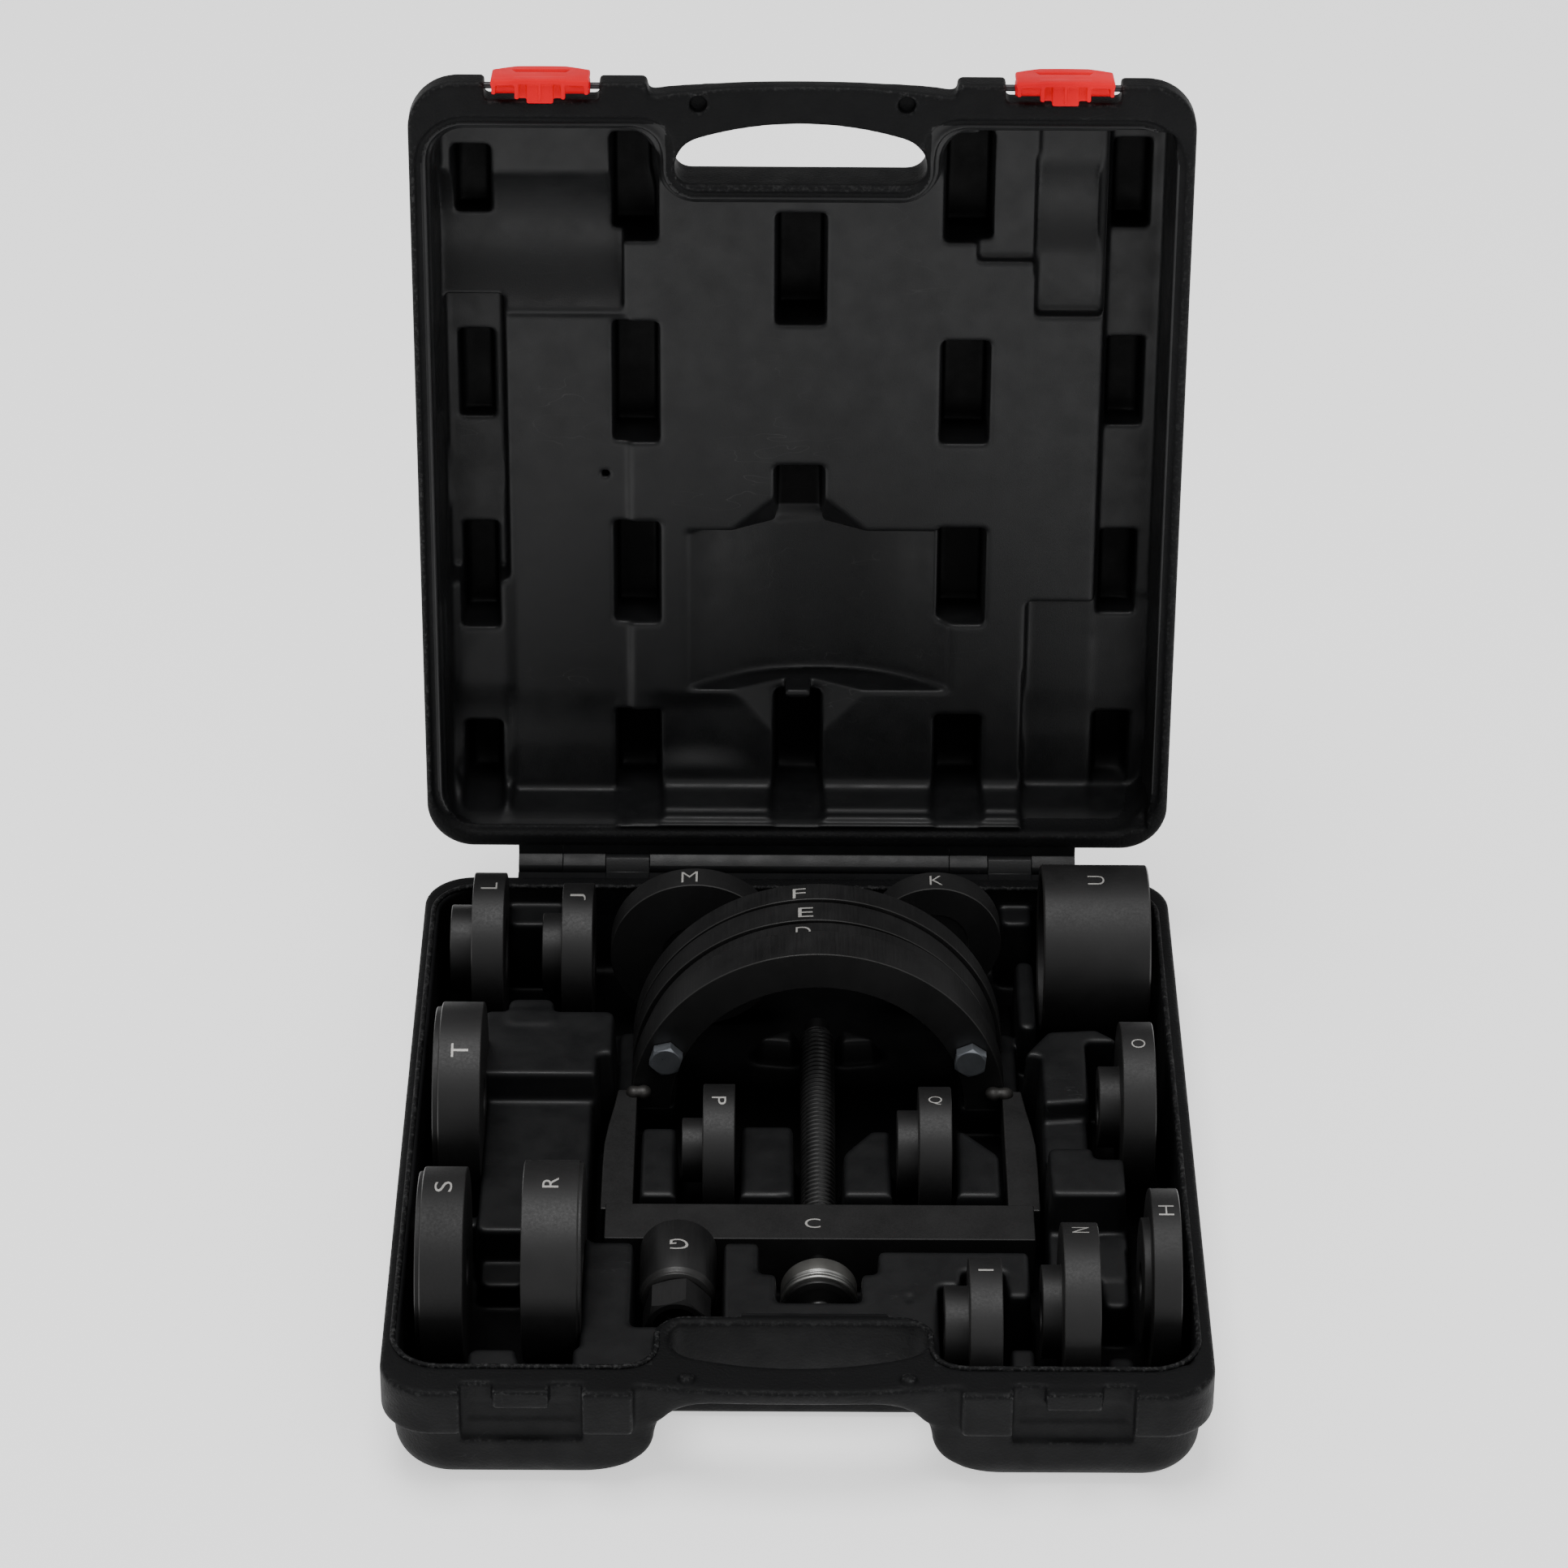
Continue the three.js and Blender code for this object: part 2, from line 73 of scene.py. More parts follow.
LID_SPANS = ((-166, -139.62, END_R), (-139.5, -114.12, BARREL_R), (-87.88, 90.88, END_R),
             (91, 113.88, BARREL_R), (140.12, 166, END_R))
RECESS_R, RECESS_Y = 109.5, -138.5       # the lid's half-round recess over the rings


# ---- moulded shapes as distance fields ----

def smax(a, b, k):
    """The larger of two distances, its crease rounded over a width k."""
    h = np.maximum(k - np.abs(a - b), 0.0) / k
    return np.maximum(a, b) + h * h * k * 0.25


def smin(a, b, k):
    return -smax(-a, -b, k)


def rect(x, y, x0, x1, y0, y1, r):
    """Signed distance to a rectangle with corner radius r."""
    qx = np.abs(x - (x0 + x1) / 2) - ((x1 - x0) / 2 - r)
    qy = np.abs(y - (y0 + y1) / 2) - ((y1 - y0) / 2 - r)
    out = np.sqrt(np.maximum(qx, 0) ** 2 + np.maximum(qy, 0) ** 2)
    return out + np.minimum(np.maximum(qx, qy), 0) - r


def polygon(x, y, pts, r=0.0):
    """Signed distance to a polygon, its outline grown by r."""
    d = np.full(x.shape, 1e9)
    inside = np.zeros(x.shape, bool)
    for (ax, ay), (bx, by) in zip(pts, pts[1:] + pts[:1]):
        ex, ey = bx - ax, by - ay
        t = np.clip(((x - ax) * ex + (y - ay) * ey) / (ex * ex + ey * ey), 0, 1)
        d = np.minimum(d, (x - ax - ex * t) ** 2 + (y - ay - ey * t) ** 2)
        if ey:
            crosses = ((ay > y) != (by > y)) & (x < ex * (y - ay) / ey + ax)
            inside ^= crosses
    return np.where(inside, -np.sqrt(d), np.sqrt(d)) - r


def slab(plan, z, z0, z1, r):
    """A plan shape between two heights with its edges rounded by r."""
    a = plan + r
    b = np.abs(z - (z0 + z1) / 2) - (z1 - z0) / 2 + r
    outside = np.sqrt(np.maximum(a, 0) ** 2 + np.maximum(b, 0) ** 2)
    return np.minimum(np.maximum(a, b), 0) + outside - r


def surface_nets(field, origin, step):
    """One vertex in each crossed cell, one quad over each crossed grid edge."""
    inside = field < 0
    cells = tuple(n - 1 for n in field.shape)
    size = cells[0] * cells[1] * cells[2]
    total = np.zeros((size, 3))
    count = np.zeros(size)
    rings = []
    for ax in range(3):
        u, v = [q for q in range(3) if q != ax]
        lo = [slice(None)] * 3
        hi = [slice(None)] * 3
        lo[ax], hi[ax] = slice(0, -1), slice(1, None)
        first = inside[tuple(lo)]
        ijk = np.stack(np.nonzero(first != inside[tuple(hi)]), 1)
        a = field[tuple(lo)][tuple(ijk.T)]
        b = field[tuple(hi)][tuple(ijk.T)]
        point = ijk.astype(float)
        point[:, ax] += a / (a - b)
        ring = []
        for du, dv in ((0, 0), (-1, 0), (-1, -1), (0, -1)):
            c = ijk.copy()
            c[:, u] += du
            c[:, v] += dv
            flat = np.ravel_multi_index(tuple(c.T), cells)
            ring.append(flat)
            count += np.bincount(flat, minlength=size)
            for k in range(3):
                total[:, k] += np.bincount(flat, point[:, k], size)
        ring = np.stack(ring, 1)
        keep = first[tuple(ijk.T)] ^ (ax == 1)
        ring[~keep] = ring[~keep][:, ::-1]
        rings.append(ring)
    used = count > 0
    index = np.cumsum(used) - 1
    verts = total[used] / count[used][:, None] * step + np.array(origin)
    return verts, index[np.concatenate(rings)]


class Moulding:
    """A solid on a grid: plan shapes are worked out in 2D and combined with height."""

    def __init__(self, lo, hi, step=None):
        self.lo = lo
        self.step = step or VOXEL
        n = [int(math.ceil((h - l) / self.step)) + 1 for l, h in zip(lo, hi)]
        ax = [l + self.step * np.arange(k) for l, k in zip(lo, n)]
        self.x = ax[0][:, None, None].astype(np.float32)
        self.y = ax[1][None, :, None].astype(np.float32)
        self.z = ax[2][None, None, :].astype(np.float32)
        self.px, self.py = np.meshgrid(ax[0], ax[1], indexing="ij")
        self.f = np.full(n, 50.0, np.float32)
        self.body = self.skin = None         # set by shell(): outer form, and how far hollows may go

    def plan(self, x0, x1, y0, y1, r=6.0):
        return column(rect(self.px, self.py, x0, x1, y0, y1, r))

    def outline(self, pts, r=4.0):
        return column(polygon(self.px, self.py, pts, r))

    def add(self, d, k=0.0):
        self.f = smin(self.f, d, k) if k else np.minimum(self.f, d)

    def cut(self, d, k=0.0):
        self.f = smax(self.f, -d, k) if k else np.maximum(self.f, -d)

    def mesa(self, plan, top, sign, crown=2.6, foot=3.0, draft=0.05):
        """Raises land up to a height. sign is +1 where open means up, -1 where open means down."""
        h = sign * (self.z - top)
        land = np.maximum(smax(plan + draft * h, h, crown), FLOOR - 3 - self.z)
        self.add(smax(land, self.body + 2.5, 3), foot)

    def well(self, plan, floor, sign, lip=2.6, foot=4.0, draft=0.05):
        """Sinks a pocket with sloping walls down to a floor."""
        h = sign * (floor - self.z)
        self.hollow(smax(plan + draft * (h + 20), h, foot), lip)

    def hollow(self, d, lip):
        """Cuts, but leaves the moulding's outer skin standing."""
        self.cut(smax(d, self.skin, 4), lip)

    def mesh(self):
        return surface_nets(self.f, self.lo, self.step)


def column(plan):
    """A plan's distances, ready to combine with height."""
    return plan[:, :, None].astype(np.float32)


def seal_line(x, y):
    """Inner edge of the rim: a rounded rectangle that steps back round the handle."""
    return smax(rect(x, y, *SEAL_PLAN), -rect(x, y, *JOG_PLAN), JOG_BLEND)


def shell(m, sign, height, flange, bar):
    """Outer form: a flange band and a body with deeply rounded outer edges."""
    heights = sorted((-sign * 60.0, sign * height))
    open_top = slab(m.plan(*BODY_PLAN), m.z, *heights, 27 if sign > 0 else 18)
    if sign > 0:                             # the lid's front wall falls back above its flange
        slope = (-474.5 - m.y) + 0.45 * np.maximum(m.z - 18, 0)
        open_top = smax(open_top, slope, 10)
    m.body = open_top
    m.skin = smax(open_top, (6.0 if sign > 0 else 3.4) - bay(m, sign, bar), 5) + 3.0
    zs = sorted((0.0, sign * flange))
    m.add(slab(m.plan(*RIM_PLAN), m.z, zs[0], zs[1], 2.5))
    m.add(smax(open_top, 6.0 - sign * m.z, 3), 3)


def bay(m, sign, bar):
    """The room under the carrying bar."""
    depth = sign * m.z
    back = m.y - 0.62 * np.maximum(depth - 27, 0) * (sign > 0)      # the lid's wall leans away
    flare = 0.05 * np.maximum(depth - 38, 0) ** 2 * (sign < 0)      # the base's side corners round off
    wide = m.x / (1 + flare / 84)
    return smax(rect(wide, back, -76, 71.5, -560, -424, 14), bar - depth, 34)


def handle(m, sign, bar):
    """Cuts the bay, the bowed hand hole behind the bar, and the bar's arched front."""
    m.cut(bay(m, sign, bar), 9)
    hole = m.plan(-68 if sign < 0 else -71.5, 70, -500, -426, 9)
    bow = column(np.hypot(m.px + 0.5, m.py + 270.0) - 192.0)
    m.cut(smax(hole, bow, 14), 3)
    arch = column(m.py + 478.5 + 6.5 * (1 - (m.px / 84.0) ** 2))
    m.cut(smax(column(np.abs(m.px) - 86.0), arch, 5), 3)


def base_form():
    """The lower half: pockets sunk to the floor, lands raised, then pockets cut through the lands."""
    m = Moulding((-226, -492, -70), (226, 24, 8))
    shell(m, -1, BASE_H, BASE_FLANGE, BASE_BAR)
    m.well(column(seal_line(m.px, m.py)), FLOOR, 1, lip=2.5, foot=8)
    # lands: plan rectangle, height of the land
    lands = [
        ((-180, -105, -198, -136), -2), ((-166, -140, -150, -124), -2), ((-176, -116, -319, -185), -21),
        ((-174, -149, -341, -300), -42), ((-175, -148, -475, -428), -16),
        ((-89, -66, -292, -224), -20), ((-33, -1, -292, -222), -20),
        ((136, 163, -262, -205), -15), ((139, 181, -307, -264), -3), ((137, 182, -349, -300), -30),
        ((166, 181, -372, -310), -30), ((166, 181, -432, -410), -34), ((166, 181, -475, -450), -30),
        ((-171, -139, -34, -6), -12), ((-112, -96, -150, -100), -44), ((121, 139, -31, -6), -12),
        ((129, 139, -120, -52), -24), ((-103, -69, -179, -105), -39), ((93, 127, -179, -105), -39),
        ((-212, -176, -301, -291), -32),
    ]
    for (x0, x1, y0, y1), top in lands:
        m.mesa(m.plan(x0, x1, y0, y1, 5), top, 1)
    front = [(-119, -85, -475, -340), (-119, -60, -475, -419), (-90, 84, -445, -396),
             (-42, -9, -430, -340), (33, 60, -430, -364), (43, 127, -392, -351), (60, 88, -475, -380)]
    m.mesa(np.minimum.reduce([m.plan(*r, 5) for r in front]), -7.5, 1)
    m.mesa(m.plan(110, 138, -475, -436, 5), -8, 1)
    by_q = [(25, -292), (28, -252), (44, -230), (92, -230), (111, -252), (112, -292)]
    m.mesa(m.outline(by_q), -20, 1)
    by_o = [(130, -184), (146, -158), (170, -156), (179, -164), (179, -186), (170, -194),
            (166, -217), (140, -220), (136, -200)]
    m.mesa(m.outline(by_o), -2, 1)
    for side in (-1, 1):                     # two short ramps under the rings, beside the spindle
        ramp_plan = [(AXIS_X + side * x, y) for x, y in ((16, -107), (31, -105), (16, -97))]
        m.mesa(m.outline(ramp_plan, 1), -43, 1, draft=0.5)
    # wells cut through the lands: plan rectangle, height of the floor
    cuts = [
        ((-148, -117, -436, -312), FLOOR), ((-67, -32, -286, -207), -56), ((53, 88.5, -286, -207), -56),
        ((-1.5, 25.5, -300, -215), -52), ((-88.5, -40.5, -417.5, -326), -46),
        ((-19.5, 42, -371, -322), -61), ((-10, 33, -395.5, -322), -61),
        ((77, 111, -456, -384), FLOOR), ((89.5, 111, -456, -371), FLOOR),
        ((127, 165, -456, -348), FLOOR), ((182, 206, -456, -322), FLOOR),
        ((166, 206, -272, -165), FLOOR), ((-112, 137, -344, -288), FLOOR),
        ((-9, 137, -351, -288), FLOOR), ((-112, -88, -330, -179), FLOOR),
        ((114, 137, -330, -179), FLOOR),
    ]
    for (x0, x1, y0, y1), floor in cuts:
        m.well(m.plan(x0, x1, y0, y1, 3), floor, 1, foot=5)
    m.add(slab(m.plan(-30, 49, -424, -413, 2), m.z, -16, -1.2, 1), 1)        # fold behind the handle
    m.cut(slab(m.plan(-29, 48, -414.9, -411.3, 1.2), m.z, -10, 2, 0.5), 0.5)
    handle(m, -1, BASE_BAR)
    for x0, x1 in NOTCHES:                   # latch recess, the room for its hook, and the catch
        c = (x0 + x1) / 2
        m.cut(slab(m.plan(x0, x1, -500, -477, 1.5), m.z, -36, 12, 1.5), 1.6)
        m.cut(slab(m.plan(x0 + 3, x1 - 3, -500, -475.9, 1), m.z, -24.5, -11.5, 0.8), 0.6)
        m.add(slab(m.plan(c - 14.8, c + 14.8, -484.6, -470, 0.8), m.z, -11.4, -0.2, 0.7), 0.8)
    for x in STUDS:
        stud = np.sqrt((m.x - x) ** 2 + (m.y - STUD_Y) ** 2)
        m.add(smax(stud - 4.3, np.abs(m.z + 1) - 4.4, 2.4), 0.8)
    return m


def lid_form():
    """The upper half, shut: its wells open downwards."""
    m = Moulding((-226, -492, -8), (226, 24, 78))
    shell(m, 1, LID_H, LID_FLANGE, LID_BAR)
    seal = column(seal_line(m.px, m.py))
    m.well(seal, 5, -1, 2.2, 2)              # stepped ledges round the inside of the rim
    m.well(seal + 3.4, 12, -1, 2, 2)
    m.well(seal + 6.4, 38.5, -1, 2.5, 7)
    wells = [
        ((-206, -170, -339, -158), 57), ((-171, -98, -330, -16), 41), ((174, 208, -456, -16), 50),
        ((100, 136, -454, -363), 44), ((134, 174, -454, -329), 47), ((134, 208, -146, -16), 50),
    ]
    for (x0, x1, y0, y1), floor in wells:
        m.well(m.plan(x0, x1, y0, y1, 4), floor, -1)
    # round hollows over the discs that stand above the parting plane:
    # x span, y span, centre y and z, radius
    for x0, x1, y0, y1, cy, cz, r in (
            (-207, -102, -454, -319, -374, -3, 59.5), (-207, -172, -300, -158, -219, -3, 59.5),
            (-172, -108, -130, -9, -66, -14, 56), (134, 208.5, -130, -9, -66, -7, 57),
            (134, 170, -454, -333, -395, -9, 62), (-206, -172, -130, -9, -66, -14, 56)):
        arc = np.sqrt((m.y - cy) ** 2 + (m.z - cz) ** 2) - r
        m.hollow(smax(arc, m.plan(x0, x1, y0, y1, 3), 2), 2.6)
    cy, cz, r = SLEEVE_U
    room = np.sqrt((m.y - cy) ** 2 + (m.z - cz) ** 2) - (r + 2.5)
    corner = smax(room, m.plan(134, 208, -130, -10, 2), 2)
    m.cut(smax(corner, m.z - 13, 2), 1.5)    # room in the flange for the long sleeve's corner
    ring = np.sqrt((m.x - AXIS_X) ** 2 + (m.z - AXIS_Z) ** 2) - RECESS_R
    m.hollow(smax(ring, np.abs(m.y - RECESS_Y) - 52.5, 3), 2.6)
    cup = np.sqrt((m.x + 59.3) ** 2 + (m.z + 7) ** 2) - 50.9
    m.hollow(smax(cup, np.abs(m.y + 59) - 19, 9), 9)
    # slanted facets beside the middle wells, where they meet the half-round recess
    for s in (-1, 1):
        low = (40 - s * m.x) / 27 + (-m.y - 57) / 29 - 1
        high = (38 - s * m.x) / 24 + (215 + m.y) / 21 - 1
        for tilt, plan in ((low, [(s * 8, -90), (s * 40, -86), (s * 8, -52)]),
                           (high, [(s * 8, -188), (s * 38, -192), (s * 8, -218)])):
            m.hollow(smax(m.outline(plan, 0.5), m.z - 38.5 - 14 * tilt, 1.5), 1.5)
    # five rows of deep wells: x span, then the spans along y, counted from the back
    rows = (((-198, -177), ((18, 62), (128, 188), (256, 312), (386, 433))),
            ((-108, -82), ((18, 71), (131, 196), (249, 324), (376, 441))),
            ((-14, 14), ((18, 80), (184, 233), (324, 392))),
            ((82, 109), ((18, 69), (131, 193), (249, 313), (376, 441))),
            ((177, 199), ((18, 66), (133, 188), (256, 312), (381, 435))))
    for (x0, x1), spans in rows:
        for a, b in spans:
            m.well(m.plan(x0, x1, -b, -a, 2.5), LID_H - 3, -1, lip=2.4, foot=3, draft=0.06)
    pin_mark = np.sqrt((m.x + 113) ** 2 + (m.y + 227) ** 2) - 2.3 + 0.4 * np.maximum(m.z - 52, 0)
    m.cut(pin_mark, 0.4)
    groove = np.sqrt((seal - BEAD_OUT) ** 2 + (m.z - BEAD_Z) ** 2) - 2.5
    m.cut(groove, 0.8)
    handle(m, 1, LID_BAR)
    for x0, x1 in NOTCHES:
        m.cut(slab(m.plan(x0, x1, -500, -475.5, 3), m.z, -12, 60, 2), 2)
    for x in STUDS:
        stud = np.sqrt((m.x - x) ** 2 + (m.y - STUD_Y) ** 2)
        m.cut(smax(stud - 4.9, m.z - 5.5, 1.5), 1.0)
    return m


# ---- mesh helpers ----

def to_row(v):
    return (np.asarray(v, float) + SHIFT) * MM


def tilt(v, about, angle):
    """Points turned by minus an angle about a line along X, which is given by its y and z."""
    v = np.array(v, float)
    y, z = v[:, 1] - about[0], v[:, 2] - about[1]
    c, s = math.cos(-angle), math.sin(-angle)
    v[:, 1] = about[0] + y * c - z * s
    v[:, 2] = about[1] + y * s + z * c
    return v


def swing(v):
    """Points of the closed lid, in kit millimetres, carried to where it stands open."""
    return tilt(v, HINGE, OPEN)


def put(name, data):
    """A new object in the scene."""
    ob = bpy.data.objects.new(name, data)
    bpy.context.scene.collection.objects.link(ob)
    return ob


def new_object(name, verts, faces, smooth=True, materials=()):
    me = bpy.data.meshes.new(name)
    me.from_pydata([tuple(p) for p in verts], [], [tuple(f) for f in faces])
    me.update()
    if smooth:
        me.shade_smooth()
    for mat in materials:
        me.materials.append(mat)
    return put(name, me)


def fast_object(name, verts, quads, mat, shade=None):
    """Same, for the big grids: arrays straight into the mesh."""
    me = bpy.data.meshes.new(name)
    me.vertices.add(len(verts))
    me.vertices.foreach_set("co", np.asarray(verts, np.float32).ravel())
    me.loops.add(quads.size)
    me.loops.foreach_set("vertex_index", quads.ravel().astype(np.int32))
    me.polygons.add(len(quads))
    me.polygons.foreach_set("loop_start", np.arange(0, quads.size, 4, dtype=np.int32))
    me.update(calc_edges=True)
    me.validate()
    me.shade_smooth()
    # the shade attribute carries painted shade for the case's inside material
    if shade is not None:
        values = me.attributes.new("shade", "FLOAT", "POINT").data
        values.foreach_set("value", shade.astype(np.float32))
    me.materials.append(mat)
    return put(name, me)


def relax(verts, quads, rounds=2, amount=0.5):
    """Evens out a grid surface without moving it much."""
    n = len(verts)
    a = np.concatenate([quads[:, i] for i in range(4)])
    b = np.concatenate([quads[:, (i + 1) % 4] for i in range(4)])
    count = np.bincount(a, minlength=n) + np.bincount(b, minlength=n)
    for _ in range(rounds):
        total = np.zeros((n, 3))
        for k in range(3):
            total[:, k] = np.bincount(a, verts[b, k], n) + np.bincount(b, verts[a, k], n)
        verts = verts + amount * (total / count[:, None] - verts)
    return verts


def add_bevel(ob, width, angle, harden=False):
    """Rounds the edges sharper than an angle in degrees."""
    b = ob.modifiers.new("rounded", "BEVEL")
    b.width = width * MM
    b.segments = 2
    b.limit_method = "ANGLE"
    b.angle_limit = math.radians(angle)
    b.harden_normals = harden
    return b


def weld(ob):
    bm = bmesh.new()
    bm.from_mesh(ob.data)
    bmesh.ops.remove_doubles(bm, verts=bm.verts, dist=1e-6)
    bmesh.ops.recalc_face_normals(bm, faces=bm.faces)
    bm.to_mesh(ob.data)
    bm.free()


def prism(name, outline, along, start, stop, mat, pose=None, smooth=True):
    """Extrudes an outline, given in the two other axes, along an axis between two positions."""
    n = len(outline)
    verts = []
    for h in (start, stop):
        for u, v in outline:
            verts.append({"x": (h, u, v), "y": (u, h, v), "z": (u, v, h)}[along])
    faces = [tuple(range(n))[::-1], tuple(range(n, 2 * n))]
    faces += [(i, (i + 1) % n, n + (i + 1) % n, n + i) for i in range(n)]
    ob = new_object(name, to_row(pose(verts) if pose else verts), faces, smooth, [mat])
    weld(ob)
    if smooth:
        ob.data.set_sharp_from_angle(angle=math.radians(40))
    return ob


# ---- materials ----

def material(name):
    mat = bpy.data.materials.new(name)
    mat.use_nodes = True
    nt = mat.node_tree
    return mat, nt, nt.nodes["Principled BSDF"]


def node(nt, kind, **values):
    n = nt.nodes.new(kind)
    for key, value in values.items():
        if key in n.inputs:
            n.inputs[key].default_value = value
        else:
            setattr(n, key, value)
    return n


def ramp(nt, source, stops):
    """Colours a value by (position, colour or grey) stops."""
    r = nt.nodes.new("ShaderNodeValToRGB")
    els = r.color_ramp.elements
    while len(els) < len(stops):
        els.new(0.5)
    for e, (pos, value) in zip(els, stops):
        e.position = pos
        e.color = (*value, 1) if isinstance(value, tuple) else (value, value, value, 1)
    nt.links.new(source, r.inputs["Fac"])
    return r.outputs["Color"]


def noise(nt, coords, scale, detail=4.0, rough=0.55):
    n = node(nt, "ShaderNodeTexNoise", Scale=scale, Detail=detail, Roughness=rough)
    nt.links.new(coords, n.inputs["Vector"])
    return n.outputs["Fac"]


def bump(nt, bsdf, height, strength, distance):
    b = node(nt, "ShaderNodeBump", Strength=strength, Distance=distance)
    nt.links.new(height, b.inputs["Height"])
    nt.links.new(b.outputs["Normal"], bsdf.inputs["Normal"])


def mix_value(nt, op, a, b):
    """A maths node on two sockets or numbers."""
    m = node(nt, "ShaderNodeMath", operation=op)
    for i, v in enumerate((a, b)):
        if isinstance(v, (int, float)):
            m.inputs[i].default_value = v
        else:
            nt.links.new(v, m.inputs[i])
    return m.outputs["Value"]


def blend(nt, amount, under, over):
    """Lays a plain colour over another by an amount."""
    mx = node(nt, "ShaderNodeMix", data_type="RGBA")
    nt.links.new(amount, mx.inputs["Factor"])
    nt.links.new(under, mx.inputs[6])
    mx.inputs[7].default_value = (*over, 1)
    return mx.outputs[2]


def scratches(nt, coords, scale, stretch, width=0.012):
    """Thin pale lines, running mostly one way, from a stretched and cut noise."""
    mp = node(nt, "ShaderNodeMapping", Scale=stretch)
    nt.links.new(coords, mp.inputs["Vector"])
    f = noise(nt, mp.outputs["Vector"], scale, 2.0, 0.4)
    return ramp(nt, f, [(0.5 - width, 0), (0.5, 1), (0.5 + width, 0)])


def plastic(name, base, rough, grain, depth, scuff=0.02, shine=0.3, deep=False, worn_edges=False):
    """Moulded plastic. deep lays painted shade on it by the mesh's shade attribute, worn_edges greys the
    ridges.
    """
    mat, nt, b = material(name)
    co = node(nt, "ShaderNodeTexCoord").outputs["Object"]
    broad = noise(nt, co, 9, 4)
    fine = noise(nt, co, grain, 3, 0.6)
    lo = tuple(c * 0.82 for c in base)
    hi = tuple(c * 1.2 for c in base)
    tint = ramp(nt, broad, [(0.3, lo), (0.7, hi)])
    marks = scratches(nt, co, 26, (1, 5, 3), 0.004)
    patch = ramp(nt, noise(nt, co, 14, 3), [(0.55, 0), (0.7, 1)])
    worn = mix_value(nt, "MULTIPLY", marks, patch)
    colour = blend(nt, worn, tint, [c + scuff * 2 for c in base])
    if worn_edges:
        geo = node(nt, "ShaderNodeNewGeometry")
        ridge = ramp(nt, geo.outputs["Pointiness"], [(0.515, 0), (0.56, 1)])
        broken = ramp(nt, noise(nt, co, 420, 5, 0.75), [(0.5, 0), (0.62, 1)])
        greyed = mix_value(nt, "MULTIPLY", ridge, broken)
        colour = blend(nt, greyed, colour, [c + 0.045 for c in base])
    b.inputs["Specular IOR Level"].default_value = shine
    # painted shade: the shade attribute darkens the colour and the specular level
    if deep:
        shade = node(nt, "ShaderNodeAttribute", attribute_name="shade").outputs["Fac"]
        scale = node(nt, "ShaderNodeVectorMath", operation="SCALE")
        nt.links.new(colour, scale.inputs[0])
        nt.links.new(shade, scale.inputs["Scale"])
        colour = scale.outputs["Vector"]
        nt.links.new(mix_value(nt, "MULTIPLY", shade, shine), b.inputs["Specular IOR Level"])
    nt.links.new(colour, b.inputs["Base Color"])
    r = ramp(nt, noise(nt, co, 60, 4), [(0.3, rough - 0.07), (0.7, rough + 0.07)])
    nt.links.new(r, b.inputs["Roughness"])
    bump(nt, b, fine, 0.45, depth)
    return mat


def metal(name, base, rough, brush_axis=None, scale=700, depth=0.00003, metallic=1.0):
    """Turned or drawn metal: fine streaks along an axis and faint blotches."""
    mat, nt, b = material(name)
    co = node(nt, "ShaderNodeTexCoord").outputs["Object"]
    stretch = {"x": (0.04, 1, 1), "y": (1, 0.04, 1), None: (1, 1, 1)}[brush_axis]
    mp = node(nt, "ShaderNodeMapping", Scale=stretch)
    nt.links.new(co, mp.inputs["Vector"])
    streak = noise(nt, mp.outputs["Vector"], scale, 3, 0.6)
    blotch = noise(nt, co, 38, 5, 0.6)
    lo = tuple(c * 0.8 for c in base)
    hi = tuple(c * 1.25 for c in base)
    tint = ramp(nt, blotch, [(0.3, lo), (0.72, hi)])
    nt.links.new(tint, b.inputs["Base Color"])
    streak_part = mix_value(nt, "MULTIPLY", streak, 0.6)
    blotch_part = mix_value(nt, "MULTIPLY", blotch, 0.4)
    both = mix_value(nt, "ADD", streak_part, blotch_part)
    r = ramp(nt, both, [(0.3, max(rough - 0.09, 0.05)), (0.7, rough + 0.1)])
    nt.links.new(r, b.inputs["Roughness"])
    b.inputs["Metallic"].default_value = metallic
    bump(nt, b, streak, 0.25, depth)
    return mat


SHELL_OUT = plastic("case_outside", (0.0045, 0.0046, 0.005), 0.6, 620, 0.0009, 0.008, 0.13,
                    worn_edges=True)
# the inside of the case: deep=True gives its pockets painted shade
SHELL_IN = plastic("case_inside", (0.0058, 0.006, 0.0065), 0.46, 1300, 0.00016, 0.01, 0.34, deep=True)
SATIN = plastic("hinge_plastic", (0.005, 0.0052, 0.0056), 0.44, 900, 0.0002, 0.02, 0.3)
RED = plastic("latch_red", (0.88, 0.0006, 0.014), 0.45, 700, 0.00006, 0.0, 0.06)
BLACK = metal("black_oxide", (0.012, 0.0118, 0.012), 0.52, metallic=0.25)
CREST = metal("thread_crest", (0.016, 0.0158, 0.0155), 0.5, metallic=0.2)
